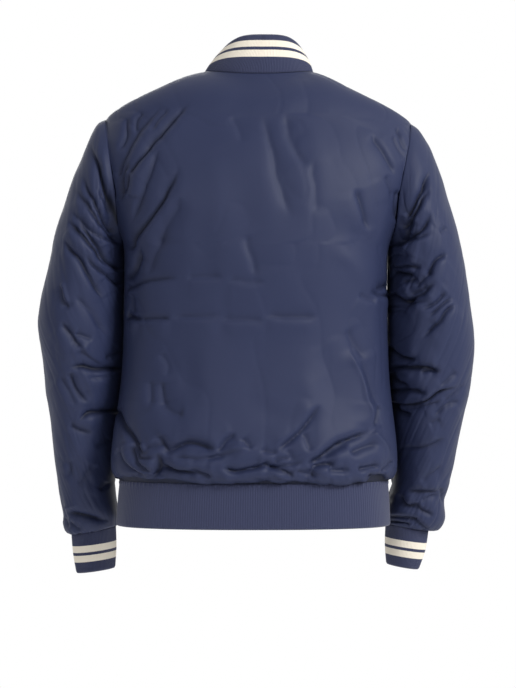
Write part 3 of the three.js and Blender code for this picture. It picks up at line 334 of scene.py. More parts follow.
SLEEVE_LEFT_BACK_CREASES = [
    (5, 4.5, TO_RIGHT, 238, -98, 226, -135, 206, -180, 189, -226),
    (2.4, 4, FREE, 222, -168, 195, -212),
    (4, 4.5, TO, 250, -148, 226, -190, 192, -234),
    (4, 4.5, TO, 257, -166, 230, -200, 190, -242),
    (3, 5, TO, 258, -196, 222, -230, 188, -246),
    (4.4, 4.5, TO, 247, -210, 216, -248, 187, -286),
    (4.6, 4.5, FREE, 256, -214, 224, -250, 196, -280),
    (4.2, 5, FREE, 262, -240, 232, -280, 202, -330),
    (3.8, 4.5, TO, 233, -262, 208, -286, 187, -306),
    (-2.4, 4, FREE_FLAT, 264, -302, 250, -332),
    (2.8, 5, FREE_FLAT, 268, -305, 252, -342),
    (2.2, 5, FREE, 242, -316, 218, -350, 202, -374),
    (3.4, 5, FREE, 263, -357, 246, -382, 233, -397),
    (2.6, 4.5, FREE, 244, -374, 220, -381),
    (-2, 5, FREE_FLAT, 238, -386, 220, -408, 203, -418),
    (2.4, 4, FREE_FLAT, 242, -396, 205, -421),
    (4.8, 5.5, TO, 257, -416, 222, -422, 187, -423),
    (3, 5, TO, 206, -410, 188, -398),
    (2, 4, TO, 229, -434, 195, -433),
    (3.4, 5, FREE, 254, -424, 244, -448, 227, -471),
    (2.4, 6, FREE, 268, -430, 252, -456, 243, -478),
    (4.8, 4.5, TO, 243, -497, 222, -483, 193, -484),
    (2.8, 5, FREE_RIGHT, 256, -500, 240, -509, 222, -515),
    (1.8, 6, TO, 221, -534, 203, -523),
    (1.8, 8, FREE, 246, -590, 222, -557),
    (2, 5, FREE, 217, -597, 204, -583),
    (4.4, 4.5, FREE, 267, -628, 236, -634, 205, -640),
    (-2.4, 6, FREE_FLAT, 270, -621, 248, -616),
    (2.4, 4, FREE, 274, -636, 262, -652),
    (2.4, 4, FREE, 264, -641, 245, -652),
    (2, 6, FREE, 262, -551, 258, -565, 267, -578),
]
SLEEVE_LEFT_FRONT_CREASES = [
    (4.4, 7, FROM, 190, -262, 218, -242, 250, -196),
    (3, 6, FREE, 196, -230, 228, -176),
    (3.6, 6, FROM, 190, -306, 226, -292, 262, -252),
    (4.2, 6, FROM, 192, -352, 232, -350, 276, -322),
    (4.6, 6, FROM_RIGHT, 192, -384, 232, -396, 278, -384),
    (3.6, 6, FROM, 192, -420, 230, -426, 268, -446),
    (3.6, 6, FROM, 198, -476, 232, -470, 266, -490),
    (2.6, 6, FREE, 262, -520, 236, -546),
    (3.2, 6, FROM, 204, -580, 236, -590, 262, -580),
    (3, 5, FREE, 208, -622, 236, -630, 258, -624),
]
SLEEVE_RIGHT_BACK_CREASES = [
    (4.6, 4, TO, 245, -140, 228, -174, 203, -212),
    (4.4, 4, TO, 241, -166, 220, -200, 197, -228),
    (4, 5, TO, 214, -211, 202, -232, 189, -252),
    (4, 4.5, TO, 239, -205, 218, -231, 193, -245),
    (2.8, 4, TO, 238, -233, 210, -242, 189, -253),
    (2.4, 4, FROM, 188, -263, 208, -264),
    (4, 4, FROM, 188, -280, 204, -277, 220, -283),
    (5.4, 6, FROM, 187, -287, 212, -293),
    (3, 5, FREE, 196, -302, 215, -295),
    (3.8, 4.5, FREE, 257, -261, 240, -274, 227, -296),
    (2.6, 5, FREE, 237, -285, 210, -309),
    (1.8, 5, FREE, 244, -233, 258, -224),
    (3.6, 4.5, TO, 243, -301, 222, -318, 199, -329),
    (5.4, 6, FROM, 186, -316, 200, -327, 213, -324),
    (2.6, 4, FREE, 232, -307, 203, -321),
    (2.4, 4, TO, 230, -326, 206, -333, 185, -334),
    (2, 4, FROM, 187, -341, 208, -339),
    (3.2, 4, FREE, 256, -314, 240, -330, 222, -341),
    (3.2, 4, FREE, 263, -319, 246, -338, 229, -353),
    (3.6, 4, FREE, 269, -329, 248, -354, 223, -382),
    (5.6, 5, FROM, 187, -391, 200, -405, 222, -411),
    (4.8, 5, FROM, 188, -422, 220, -420, 258, -426),
    (3, 4, FREE, 223, -427, 248, -424),
    (5.6, 6, FROM, 188, -428, 198, -442, 215, -447),
    (4.4, 5.5, FROM, 190, -454, 216, -452, 237, -456),
    (4.8, 4, FROM, 190, -473, 226, -471, 252, -454, 282, -448),
    (2.4, 4, FREE, 197, -478, 230, -476, 258, -465),
    (5.6, 5, FROM, 191, -471, 200, -484, 217, -486),
    (2.6, 5, FREE, 285, -467, 262, -476, 243, -491),
    (2.2, 5, FREE, 277, -427, 249, -446),
    (2, 5, FREE, 291, -443, 274, -460, 259, -475),
    (1.6, 6, FREE, 239, -501, 257, -493),
    (2.6, 5, FREE, 203, -534, 238, -531, 269, -518),
    (1.8, 7, FREE, 231, -581, 265, -560),
    (3.4, 4.5, FREE, 215, -595, 240, -596, 263, -598),
    (4, 5, FREE, 206, -600, 218, -617, 234, -613),
    (3.2, 5, FREE, 229, -611, 240, -624, 259, -632),
    (2.2, 5, FREE, 235, -609, 265, -602),
    (2.2, 5, FREE, 263, -591, 275, -616),
    (3.8, 4, FULL, 195, -636, 214, -635, 235, -639),
    (3.2, 4, FROM, 195, -642, 225, -647),
    (3, 4, FREE, 229, -638, 251, -652),
]
SLEEVE_RIGHT_FRONT_CREASES = [
    (4.6, 7, FROM, 190, -258, 222, -232, 248, -180),
    (3.6, 6, FROM, 190, -300, 226, -284, 264, -250),
    (4.2, 6, FROM, 190, -336, 232, -326, 274, -296),
    (4.4, 6, FROM_RIGHT, 190, -376, 230, -384, 278, -366),
    (4.6, 6, FROM, 190, -408, 226, -412, 262, -404),
    (3.4, 6, FROM, 192, -442, 230, -446, 270, -470),
    (3, 7, FREE, 200, -500, 236, -506, 266, -494),
    (2.4, 6, FREE, 262, -530, 232, -552),
    (3.2, 6, FROM, 200, -586, 230, -594, 258, -584),
    (3, 5, FREE, 196, -618, 224, -628, 250, -622),
]

# ---- small tools: arrays of points have x, y and z last ----

CRUMPLE_FOOT = 0.14  # how wide the sharp feet of crumples are, in heights of the waves


def points_of(*parts):
    """Points from arrays or numbers for x, y and z."""
    return np.stack(np.broadcast_arrays(*parts), axis=-1).astype(float)


def unit(vectors):
    return vectors / np.maximum(np.linalg.norm(vectors, axis=-1, keepdims=True), 1e-9)


def mirrored(points, side):
    return points * (side, 1, 1)


def smoothstep(x, low=0.0, high=1.0):
    t = np.clip((x - low) / (high - low), 0, 1)
    return t * t * (3 - 2 * t)


def bell(x):
    return np.exp(-(x**2))


def bend(start, end, leave, arrive, t):
    """A smooth curve from start to end that leaves and arrives at those speeds."""
    curve = start * (1 + 2 * t) * (1 - t) ** 2 + leave * t * (1 - t) ** 2
    return curve + end * t * t * (3 - 2 * t) - arrive * t * t * (1 - t)


def on_curve(values, position):
    """A table column at positions between its rows, on a smooth curve through them."""
    last = len(values) - 1
    first = np.clip(np.floor(position), 0, last - 1).astype(int)
    before, start, end, after = (values[np.clip(first + k, 0, last)] for k in (-1, 0, 1, 2))
    return bend(start, end, (end - before) / 2, (after - start) / 2, np.clip(position - first, 0, 1))


def position_of(values, wanted):
    return np.interp(wanted, values, np.arange(len(values)))


def evenly(curve, start, end, count):
    """Values from start to end at which the curve has travelled equal lengths."""
    t = np.linspace(start, end, 400)
    travelled = lengths_along(curve(t))
    return np.interp(np.linspace(0, travelled[-1], count + 1), travelled, t)


def lengths_along(points, axis=0):
    """How far a row of points has travelled at each of them."""
    steps = np.linalg.norm(np.diff(points, axis=axis), axis=-1)
    return np.concatenate([np.zeros_like(steps.take([0], axis=axis)), np.cumsum(steps, axis=axis)], axis=axis)


def grid_normals(points, around=False):
    """Unit vectors straight out of a grid whose rows run left to right, seen from outside."""
    if around:
        along = np.roll(points, -1, axis=1) - np.roll(points, 1, axis=1)
    else:
        along = np.gradient(points, axis=1)
    return unit(np.cross(along, np.gradient(points, axis=0)))


def blurred(values, radius, around):
    """A grid with each value averaged over its neighbours."""
    for axis in (0, 1):
        pad = [(0, 0)] * values.ndim
        pad[axis] = (radius, radius)
        padded = np.pad(values, pad, mode="wrap" if around and axis == 1 else "edge")
        size, span = values.shape[axis], 2 * radius + 1
        values = sum(padded.take(range(k, k + size), axis=axis) for k in range(span)) / span
    return values


def waves(u, v, size, seed):
    """Soft uneven waves between about -1 and 1, of that size in both directions."""
    cells = np.random.default_rng(seed).uniform(-1, 1, (64, 64))
    u, v = u / size[0] + 17.3, v / size[1] + 29.1
    column, row = np.floor(u).astype(int), np.floor(v).astype(int)
    a, b = smoothstep(u - column), smoothstep(v - row)
    corner = lambda i, j: cells[(row + j) % 64, (column + i) % 64]
    low = corner(0, 0) * (1 - a) + corner(1, 0) * a
    high = corner(0, 1) * (1 - a) + corner(1, 1) * a
    return low * (1 - b) + high * b


def crumples(u, v, size, seed):
    """Uneven folds with sharp feet, between 0 and 1, of that size in both directions."""
    return np.exp(-np.abs(waves(u, v, size, seed)) / CRUMPLE_FOOT)


# ---- the armhole ----

HALF_X, HALF_Z = (SHOULDER_X - UNDERARM_X) / 2, (SHOULDER_Z - UNDERARM_Z) / 2
MIDDLE_X, MIDDLE_Z = (SHOULDER_X + UNDERARM_X) / 2, (SHOULDER_Z + UNDERARM_Z) / 2


def armhole_height(turn):
    return MIDDLE_Z - HALF_Z * np.cos(turn)


# ---- the body's form, on the wearer's left half ----


def section_points(half, z, side, depth, roundness, angle):
    across = np.maximum(np.cos(angle), 0) ** (2 / roundness)
    out = np.maximum(np.sin(angle), 0) ** (2 / roundness)
    return points_of(half["centre"] + (side - half["centre"]) * across, half["facing"] * depth * out, z)


def body_points(half, level, share):
    position = level * (len(BODY["z"]) - 1)
    at = {name: on_curve(values, position) for name, values in BODY.items()}
    depth = at[half["depth"]]
    points = section_points(half, at["z"], at["side"], depth, at["round"], QUARTER * share)
    if half is FRONT:
        near_zip = 1 - smoothstep(points[..., 0] - half["centre"], 0, ZIP_HANG)
        points[..., 1] += (depth - at["edge"]) * near_zip
        points[..., 2] += (at["edge_z"] - at["z"]) * near_zip
    return points


def chest_section(half, z):
    position = position_of(CHEST["z"], z)
    depth = on_curve(CHEST[half["depth"]], position)
    roundness = on_curve(CHEST["round"], position)
    turn = np.arccos(np.clip((MIDDLE_Z - z) / HALF_Z, -1, 1))
    edge_x = MIDDLE_X - HALF_X * np.cos(turn)
    share = (half["armhole_depth"] * np.sin(turn) / depth) ** roundness
    side = half["centre"] + (edge_x - half["centre"]) / (1 - share) ** (1 / roundness)
    return depth, roundness, side, np.arcsin(np.sqrt(share))


def chest_points(half, z, angle):
    depth, roundness, side, _ = chest_section(half, z)
    return section_points(half, z, side, depth, roundness, angle)


def row_height(half, turn, share):
    edge_z = armhole_height(turn)
    climbed = (edge_z - UNDERARM_Z) / (SHOULDER_Z - UNDERARM_Z)
    middle_z = UNDERARM_Z + (half["middle_top"] - UNDERARM_Z) * climbed
    return edge_z + (middle_z - edge_z) * smoothstep(share)


def armhole_row_points(half, turn, share):
    edge_angle = chest_section(half, armhole_height(turn))[3]
    angle = QUARTER * share + edge_angle * (1 - share) ** 2
    return chest_points(half, row_height(half, turn, share), angle)


def neck_points(half, turn):
    centre, out = half["centre"], np.sin(turn)
    x = centre + (NECK_HALF_WIDTH - centre) * np.cos(turn)
    y = half["facing"] * half["neck_depth"] * out
    return points_of(x, y, -half["neck_drop"] * out ** half["neck_curve"])


def top_points(half, share):
    out = np.clip(1 - share / SHOULDER_SHARE, 0, 1)
    shoulder_x = NECK_HALF_WIDTH + (SHOULDER_X - NECK_HALF_WIDTH) * out
    shoulder = points_of(shoulder_x, 0, SHOULDER_Z * out**SHOULDER_CURVE)
    turn = QUARTER * np.clip((share - SHOULDER_SHARE) / (1 - SHOULDER_SHARE), 0, 1)
    return np.where((share <= SHOULDER_SHARE)[..., None], shoulder, neck_points(half, turn))


def yoke_points(half, climb, share):
    z = row_height(half, math.pi, share)
    angle = QUARTER * share
    start, end = chest_points(half, z, angle), top_points(half, share)
    reach = YOKE_REACH * np.linalg.norm(end - start, axis=-1, keepdims=True)
    leave = unit(start - chest_points(half, z - 2, angle)) * reach
    to_neck = smoothstep(share, SHOULDER_SHARE, 1)
    up_y = -half["facing"] * (1 - to_neck) + half["neck_up"][0] * to_neck
    arrive = unit(points_of(0, up_y, half["neck_up"][1] * to_neck)) * reach
    return bend(start, end, leave, arrive, climb[..., None])


def panel_points(half, level, share):
    """Points of a body panel. level is 0 at the hem seam, 1 at the underarm, 2 at the shoulder point and 3 at
    the top; share is 0 at the side and 1 at the centre."""
    level, share = np.broadcast_arrays(level, share)
    above = level[..., None]
    body = body_points(half, np.clip(level, 0, 1), share)
    armhole = armhole_row_points(half, math.pi * np.clip(level - 1, 0, 1), share)
    yoke = yoke_points(half, np.clip(level - 2, 0, 1), share)
    return np.where(above <= 1, body, np.where(above <= 2, armhole, yoke))


def tube_points(sections, level, turn):
    """Points of a sleeve or cuff. level is 0 at its top and 1 at its lower end; the turn runs from the inner
    side round the back."""
    position = level * (len(sections["back"]) - 1)
    at = {name: on_curve(values, position) for name, values in sections.items()}
    share = (1 - np.cos(turn)) / 2
    depth = np.where(np.sin(turn) >= 0, at["back"], at["front"])
    return points_of(
        at["inner_x"] + (at["outer_x"] - at["inner_x"]) * share,
        at["middle"] + depth * np.sin(turn),
        at["inner_z"] + (at["outer_z"] - at["inner_z"]) * share,
    )


def swayed(points):
    """The whole jacket leans a little to the wearer's left from the neck down, and its collar to the right,
    where the shoulder hangs lower. Below the underarms its sides and sleeves are turned a little, their back
    parts outwards."""
    x, y, z = (points[..., axis] for axis in range(3))
    turned = TURN * smoothstep(np.abs(x), *TURN_OUT) * smoothstep(-z, *TURN_DOWN)
    dropped = DROP * smoothstep(-x, *DROP_OUT) * (1 - smoothstep(-z, *DROP_DOWN))
    lean = np.where(z < 0, -LEAN * z, -COLLAR_LEAN * z)
    return points_of(x + lean + np.sign(x) * turned * y, y, z - dropped)


# ---- creases ----

CREASE_GAIN = 1.9
FOOT, FOOT_ROUND = 0.6, 0.35  # how wide a crease's sharp foot is, and how round, as shares of its width
HOLLOW, HOLLOW_SHARE = 2.6, 0.35  # how wide the soft hollow round the foot is, and its share of the depth
RIDGE = 1.6  # how far beside the foot the pushed-up cloth is highest
SHADE_FULL_DEPTH, SHADE_WIDTH = 5, 0.5  # a crease this deep gets the full painted shade in its foot, over that share of its width
WANDER, WANDER_SIZE = 1.8, (17, 17)  # how far creases stray from their paths, and how often


def on_path(flat_path, steps=6):
    """Points on a smooth curve through a path's points."""
    path = np.array(flat_path, float).reshape(-1, 2)
    position = np.linspace(0, len(path) - 1, steps * (len(path) - 1) + 1)
    return np.stack([on_curve(path[:, axis], position) for axis in (0, 1)], axis=-1)


def beside_path(x, z, path, reach):
    """Which points lie near a path, how far away and on which side they lie, and at what share of it."""
    low, high = path.min(axis=0) - reach, path.max(axis=0) + reach
    near = (x > low[0]) & (x < high[0]) & (z > low[1]) & (z < high[1])
    place = np.stack([x[near], z[near]], axis=-1)
    away = np.full(len(place), np.inf)
    beside, along = np.zeros(len(place)), np.zeros(len(place))
    travelled = lengths_along(path)
    for i in range(len(path) - 1):
        step = path[i + 1] - path[i]
        length = np.linalg.norm(step)
        t = np.clip((place - path[i]) @ step / length**2, 0, 1)
        offset = place - path[i] - t[:, None] * step
        distance = np.linalg.norm(offset, axis=-1)
        closer = distance < away
        turned = (step[0] * offset[:, 1] - step[1] * offset[:, 0]) / length
        away = np.where(closer, distance, away)
        beside = np.where(closer, np.sign(turned), beside)
        along = np.where(closer, travelled[i] + t * length, along)
    return near, away, beside, along / travelled[-1]


def crease_press(x, z, creases):
    """How far the creases press the cloth in at points seen at (x, z), and how much painted shade darkens the
    colour of their feet there.
    """
    press, painted_shade = np.zeros_like(x), np.zeros_like(x)
    strayed_x = x + WANDER * waves(x, z, WANDER_SIZE, 51)
    strayed_z = z + WANDER * waves(x, z, WANDER_SIZE, 52)
    for depth, width, (lip, fade_in, fade_out), *flat_path in creases:
        near, away, beside, share = beside_path(strayed_x, strayed_z, on_path(flat_path), 9 * width)
        strength = smoothstep(share, 0, fade_in) * (1 - smoothstep(share, 1 - fade_out, 1))
        foot = np.exp(FOOT_ROUND - np.hypot(away / (FOOT * width), FOOT_ROUND))
        hollow = bell(away / (HOLLOW * width))
        onto_ridge = np.clip(away * beside * np.sign(lip), 0, None) / (RIDGE * width)
        ridge = abs(lip) * onto_ridge * np.exp(1 - onto_ridge)
        shape = HOLLOW_SHARE * hollow + (1 - HOLLOW_SHARE) * foot - ridge
        press[near] += CREASE_GAIN * depth * strength * shape
        # Painted shade in the crease's foot, darker for deeper creases, standing for the self-shadow of a
        # tight fold.
        shade_weight = min(max(depth / SHADE_FULL_DEPTH, 0), 1) ** 2 * strength
        painted_shade[near] = np.maximum(painted_shade[near], shade_weight * bell(away / (SHADE_WIDTH * width)))
    return press, painted_shade


def fold_press(x, z, folds):
    """How far broad soft folds press the cloth in at points seen at (x, z)."""
    press = np.zeros_like(x)
    for depth, width, *flat_path in folds:
        near, away, _, share = beside_path(x, z, on_path(flat_path), 3 * width)
        strength = smoothstep(share, 0, 0.4) * (1 - smoothstep(share, 0.6, 1))
        press[near] += depth * strength * bell(away / width)
    return press


# ---- meshes ----


def rim_triangles(outer, inner):
    """Triangles between an outer edge and an inner edge that has every second of its points."""
    triangles = []
    for i in range(len(inner) - 1):
        a, b, c = outer[2 * i : 2 * i + 3]
        d, e = inner[i : i + 2]
        triangles += [(a, d, b), (b, d, e), (b, e, c)]
    return triangles


def grid_faces(index, flipped=False):
    a, b = index[:-1, :-1].ravel(), index[:-1, 1:].ravel()
    c, d = index[1:, 1:].ravel(), index[1:, :-1].ravel()
    return np.stack([d, c, b, a] if flipped else [a, b, c, d], axis=-1)


def pressed(points, press, around=False):
    """A grid of cloth pressed in by as much as press says at each point."""
    return points - grid_normals(points, around) * press[..., None]


def wall(name, outer, made_of, thickness, cloth, painted_shade=None, around=False):
    """A closed wall of cloth: its outer face is the grid, and its inner face has every second point of it.
    cloth holds the grid's places on the flat cloth, and the grid after it how much painted shade, standing
    for the self-shadow of tight folds, darkens the material's colour. The grid's rows go up."""
    rows, columns = outer.shape[:2]
    inward = unit(blurred(grid_normals(outer, around), 2, around))
    inner = (outer - inward * thickness)[::2, ::2]
    outer_index = np.arange(rows * columns).reshape(rows, columns)
    inner_index = np.arange(inner[..., 0].size).reshape(inner.shape[:2]) + rows * columns
    if around:
        outer_index = np.concatenate([outer_index, outer_index[:, :1]], axis=1)
        inner_index = np.concatenate([inner_index, inner_index[:, :1]], axis=1)
    faces = [grid_faces(outer_index), grid_faces(inner_index, flipped=True)]
    rims = rim_triangles(outer_index[0], inner_index[0])
    rims += [t[::-1] for t in rim_triangles(outer_index[-1], inner_index[-1])]
    if not around:
        rims += [t[::-1] for t in rim_triangles(outer_index[:, 0], inner_index[:, 0])]
        rims += rim_triangles(outer_index[:, -1], inner_index[:, -1])
    points = np.concatenate([outer.reshape(-1, 3), inner.reshape(-1, 3)])
    places = np.concatenate([cloth.reshape(-1, 2), cloth[::2, ::2].reshape(-1, 2)])
    sides = [*faces[0].tolist(), *faces[1].tolist()]
    piece = mesh_object(name, swayed(points), sides, made_of, places, rims)
    # The painted shade goes onto the mesh as a point attribute that the shell material reads.
    if painted_shade is not None:
        painted_shade_layer = piece.data.attributes.new("painted_shade", "FLOAT", "POINT")
        painted_shade_layer.data.foreach_set("value", np.concatenate([painted_shade.ravel(), painted_shade[::2, ::2].ravel()]))
    return piece


def scene_object(name, data):
    made = bpy.data.objects.new(name, data)
    bpy.context.scene.collection.objects.link(made)
    return made


def mesh_object(name, points, faces, made_of, places=None, flat_faces=()):
    mesh = bpy.data.meshes.new(name)
    mesh.from_pydata((points * MM).tolist(), [], [*faces, *flat_faces])
    mesh.polygons.foreach_set("use_smooth", [True] * len(faces) + [False] * len(flat_faces))
    if places is not None:
        corners = np.empty(len(mesh.loops), int)
        mesh.loops.foreach_get("vertex_index", corners)
        layer = mesh.uv_layers.new(name="cloth")
        layer.data.foreach_set("uv", (places[corners] * MM).ravel().astype("float32"))
    mesh.update()
    mesh.materials.append(made_of)
    return scene_object(name, mesh)


# ---- materials ----

SHELL_NAVY = (0.022, 0.029, 0.072)
PAINTED_SHADE_NAVY = (0.003, 0.004, 0.010)  # painted shade: near-black navy mixed into the shell colour in tight crease feet and along the hem seam, standing for their self-shadow
KNIT_NAVY = (0.030, 0.036, 0.082)
CREAM = (0.78, 0.72, 0.62)
TAPE_NAVY = (0.012, 0.015, 0.04)
DARK_METAL = (0.13, 0.13, 0.14)
STRIPE_SPAN = 80
COLLAR_STRIPES = (10, 20, 24.4, 34.8)
CUFF_STRIPES = (16, 26.2, 30.4, 40.6)


def material(name, roughness, specular=0.5, colour=None, metallic=0.0):
    made = bpy.data.materials.new(name)
    made.use_nodes = True
    shader = made.node_tree.nodes["Principled BSDF"]
    shader.inputs["Roughness"].default_value = roughness
    shader.inputs["Specular IOR Level"].default_value = specular
    shader.inputs["Metallic"].default_value = metallic
    if colour:
        shader.inputs["Base Color"].default_value = (*colour, 1)
    return made, made.node_tree.nodes, made.node_tree.links, shader


def add_node(nodes, kind, **values):
    """A new node with values on its inputs, whose names are written with _ for a space."""
    node = nodes.new(kind)
    for name, value in values.items():
        node.inputs[name.replace("_", " ")].default_value = value
    return node


def cloth_place(nodes, links, scale):
    """The place on the flat cloth, stretched by a scale for each direction."""
    place = nodes.new("ShaderNodeUVMap")
    place.uv_map = "cloth"
    mapping = add_node(nodes, "ShaderNodeMapping", Scale=scale)
    links.new(place.outputs["UV"], mapping.inputs["Vector"])
    return mapping.outputs["Vector"]


def bump(nodes, links, height, distance, strength, under=None):
    node = add_node(nodes, "ShaderNodeBump", Distance=distance * MM, Strength=strength)
    links.new(height, node.inputs["Height"])
    if under:
        links.new(under, node.inputs["Normal"])
    return node.outputs["Normal"]


def noise(nodes, links, vector, detail=2.0, roughness=0.5):
    node = add_node(nodes, "ShaderNodeTexNoise", Scale=1, Detail=detail, Roughness=roughness)
    links.new(vector, node.inputs["Vector"])
    return node.outputs["Fac"]


def shell_material():
    """Smooth woven cloth with a low satin sheen, fine threads and faint crumples."""
    made, nodes, links, shader = material("shell_cloth", 0.56, 0.22, SHELL_NAVY)
    threads = noise(nodes, links, cloth_place(nodes, links, (500, 2200, 1)))
    crumples = noise(nodes, links, cloth_place(nodes, links, (60, 45, 1)), 3.0, 0.55)
    under = bump(nodes, links, crumples, 1.2, 0.2)
    links.new(bump(nodes, links, threads, 0.12, 0.35, under), shader.inputs["Normal"])
    # Painted shade: the colour is mixed towards near-black navy where the mesh's painted-shade attribute
    # says, standing for the self-shadow in tight crease feet and along the hem seam.
    painted_shade = nodes.new("ShaderNodeAttribute")
    painted_shade.attribute_name = "painted_shade"
    shade = nodes.new("ShaderNodeMix")
    shade.data_type = "RGBA"
    shade.inputs["A"].default_value = (*SHELL_NAVY, 1)
    shade.inputs["B"].default_value = (*PAINTED_SHADE_NAVY, 1)
    links.new(painted_shade.outputs["Fac"], shade.inputs["Factor"])
    links.new(shade.outputs["Result"], shader.inputs["Base Color"])
    return made


def knit_material(name, stripes=()):
    """Rib knit. stripes holds where each change of colour lies, in millimetres from the band's free edge."""
    made, nodes, links, shader = material(name, 0.85, 0.25, KNIT_NAVY)
    shader.inputs["Sheen Weight"].default_value = 0.25
    shader.inputs["Sheen Roughness"].default_value = 0.5
    loops = noise(nodes, links, cloth_place(nodes, links, (900, 1300, 1)), 2.0)
    links.new(bump(nodes, links, loops, 0.25, 0.6), shader.inputs["Normal"])
    if stripes:
        place = nodes.new("ShaderNodeUVMap")
        place.uv_map = "cloth"
        split = nodes.new("ShaderNodeSeparateXYZ")
        span = add_node(nodes, "ShaderNodeMapRange", From_Max=STRIPE_SPAN * MM)
        ramp = nodes.new("ShaderNodeValToRGB")
        ramp.color_ramp.interpolation = "CONSTANT"
        ramp.color_ramp.elements.remove(ramp.color_ramp.elements[1])
        ramp.color_ramp.elements[0].color = (*KNIT_NAVY, 1)
        for i, edge in enumerate(stripes):
            stop = ramp.color_ramp.elements.new(edge / STRIPE_SPAN)
            stop.color = (*(CREAM if i % 2 == 0 else KNIT_NAVY), 1)
        links.new(place.outputs["UV"], split.inputs["Vector"])
        links.new(split.outputs["Y"], span.inputs["Value"])
        links.new(span.outputs["Result"], ramp.inputs["Fac"])
        links.new(ramp.outputs["Color"], shader.inputs["Base Color"])
    return made


shell_cloth = shell_material()
hem_knit = knit_material("hem_knit")
collar_knit = knit_material("collar_knit", COLLAR_STRIPES)
cuff_knit = knit_material("cuff_knit", CUFF_STRIPES)
tape_weave = material("tape_weave", 0.8, 0.3, TAPE_NAVY)[0]
dark_metal = material("dark_metal", 0.32, 0.5, DARK_METAL, 0.9)[0]

# ---- back and fronts ----

BODY_ROWS, ARMHOLE_ROWS, YOKE_ROWS = 140, 72, 44  # even numbers, as are the columns
SHOULDER_COLUMNS, NECK_COLUMNS = 96, 40
SEAM_DIP, SEAM_WIDTH = 0.3, 1.8  # how far the cloth is drawn in at its seams, and how far that is felt

BLOUSE_GAIN, BLOUSE_RISE = 0.55, 75  # how much deeper creases are near the hem seam, and how far up
GATHER_RISE = 34  # how far up from the hem seam the cloth is gathered
SHADOW, SHADOW_RISE = 0.85, 7  # how dark the painted shadow is along the hem seam, where the cloth turns under, and how far up it reaches
BULGE_Z, BULGE_RISE = -582, 11  # where the cloth hangs out furthest over the hem seam
BESIDE_SLEEVE, SLEEVE_TOUCH_Z = (168, 186), -235  # where a body panel's ridges are kept off the sleeves
RIDGES_LOWERED = 0.85

# How far the bloused fold over the hem seam is drawn up across the back, where the seam then shows.
HEM_LIFT = {
    "x": np.array([-200, -180, -152, -132, -103, -63, -42, -7, 35, 56, 83, 121, 176, 200], float),
    "lift": np.array([6, 6, 9, 3, 2, 5, 9, 9, 5, 2, 4, 8, 9, 9], float),
}


def panel_grid(half, both_sides):
    """The panel's smooth form from left to right seen from outside: for the back its two halves, and for a
    front the left one."""
    middle = lambda t: panel_points(half, t, 0.5)
    levels = np.concatenate([
        evenly(middle, 0, 1, BODY_ROWS),
        evenly(middle, 1, 2, ARMHOLE_ROWS)[1:],
        evenly(middle, 2, 3, YOKE_ROWS)[1:],
    ])
    across = lambda t: panel_points(half, 1.0, t)
    shares = np.concatenate([
        evenly(across, 0, SHOULDER_SHARE, SHOULDER_COLUMNS),
        evenly(across, SHOULDER_SHARE, 1, NECK_COLUMNS)[1:],
    ])
    left = panel_points(half, levels[:, None], shares[None, :])
    if both_sides:
        return np.concatenate([left, mirrored(left, -1)[:, -2::-1]], axis=1)
    return left[:, ::-1]


def cloth_places(points):
    """How far across and up the cloth each point of a grid lies."""
    return np.stack([lengths_along(points, axis=1), lengths_along(points, axis=0)], axis=-1)


def softened(points, radius):
    """A panel's grid with the kinks of its form rounded off, away from its edges."""
    rows, columns = (np.arange(size) for size in points.shape[:2])
    from_ends = np.minimum(rows, rows[::-1])[:, None]
    from_sides = np.minimum(columns, columns[::-1])[None, :]
    inside = smoothstep(from_ends, 0, 2 * radius) * smoothstep(from_sides, 0, radius)
    return points + (blurred(points, radius, False) - points) * inside[..., None]


def edge_dip(points, around=False):
    """How far the cloth is drawn in at each point because a seam is near."""
    up = lengths_along(points, axis=0)
    nearest = np.minimum(up, up[-1:] - up)
    if not around:
        across = lengths_along(points, axis=1)
        nearest = np.minimum(nearest, np.minimum(across, across[:, -1:] - across))
    return SEAM_DIP * bell(nearest / SEAM_WIDTH)


def panel_press(x, z, u, v, creases, folds, seed):
    """How far a panel is pressed in at each point, and how much painted shade darkens its colour there, in
    crease feet and along the hem seam.
    """
    press, painted_shade = crease_press(x, z, creases)
    press *= 1 + BLOUSE_GAIN * bell(v / BLOUSE_RISE)
    press += fold_press(x, z, folds)
    press += 1.2 * waves(u, v, (70, 150), seed) + 0.8 * waves(u, v, (34, 80), seed + 1)
    strayed_u = u + 0.3 * v + 9 * waves(u, v, (40, 50), seed + 5)
    strayed_v = v + 8 * waves(u, v, (30, 30), seed + 6)
    press += 0.7 * crumples(strayed_u, strayed_v, (34, 95), seed + 4)
    gathers = 2.6 * crumples(u, v, (17, 46), seed + 2) + 0.6 * waves(u, v, (6.5, 40), seed + 3)
    press += bell(v / GATHER_RISE) * gathers
    beside = smoothstep(np.abs(x), *BESIDE_SLEEVE) * (z < SLEEVE_TOUCH_Z)
    press = np.where(press < 0, press * (1 - RIDGES_LOWERED * beside), press)
    press *= smoothstep(v, 0, 8) * smoothstep(v[-1:] - v, 0, 8)
    # A painted shadow along the hem seam, under the bloused cloth, joins the creases' painted shade.
    return press, np.maximum(painted_shade, SHADOW * bell(v / SHADOW_RISE))


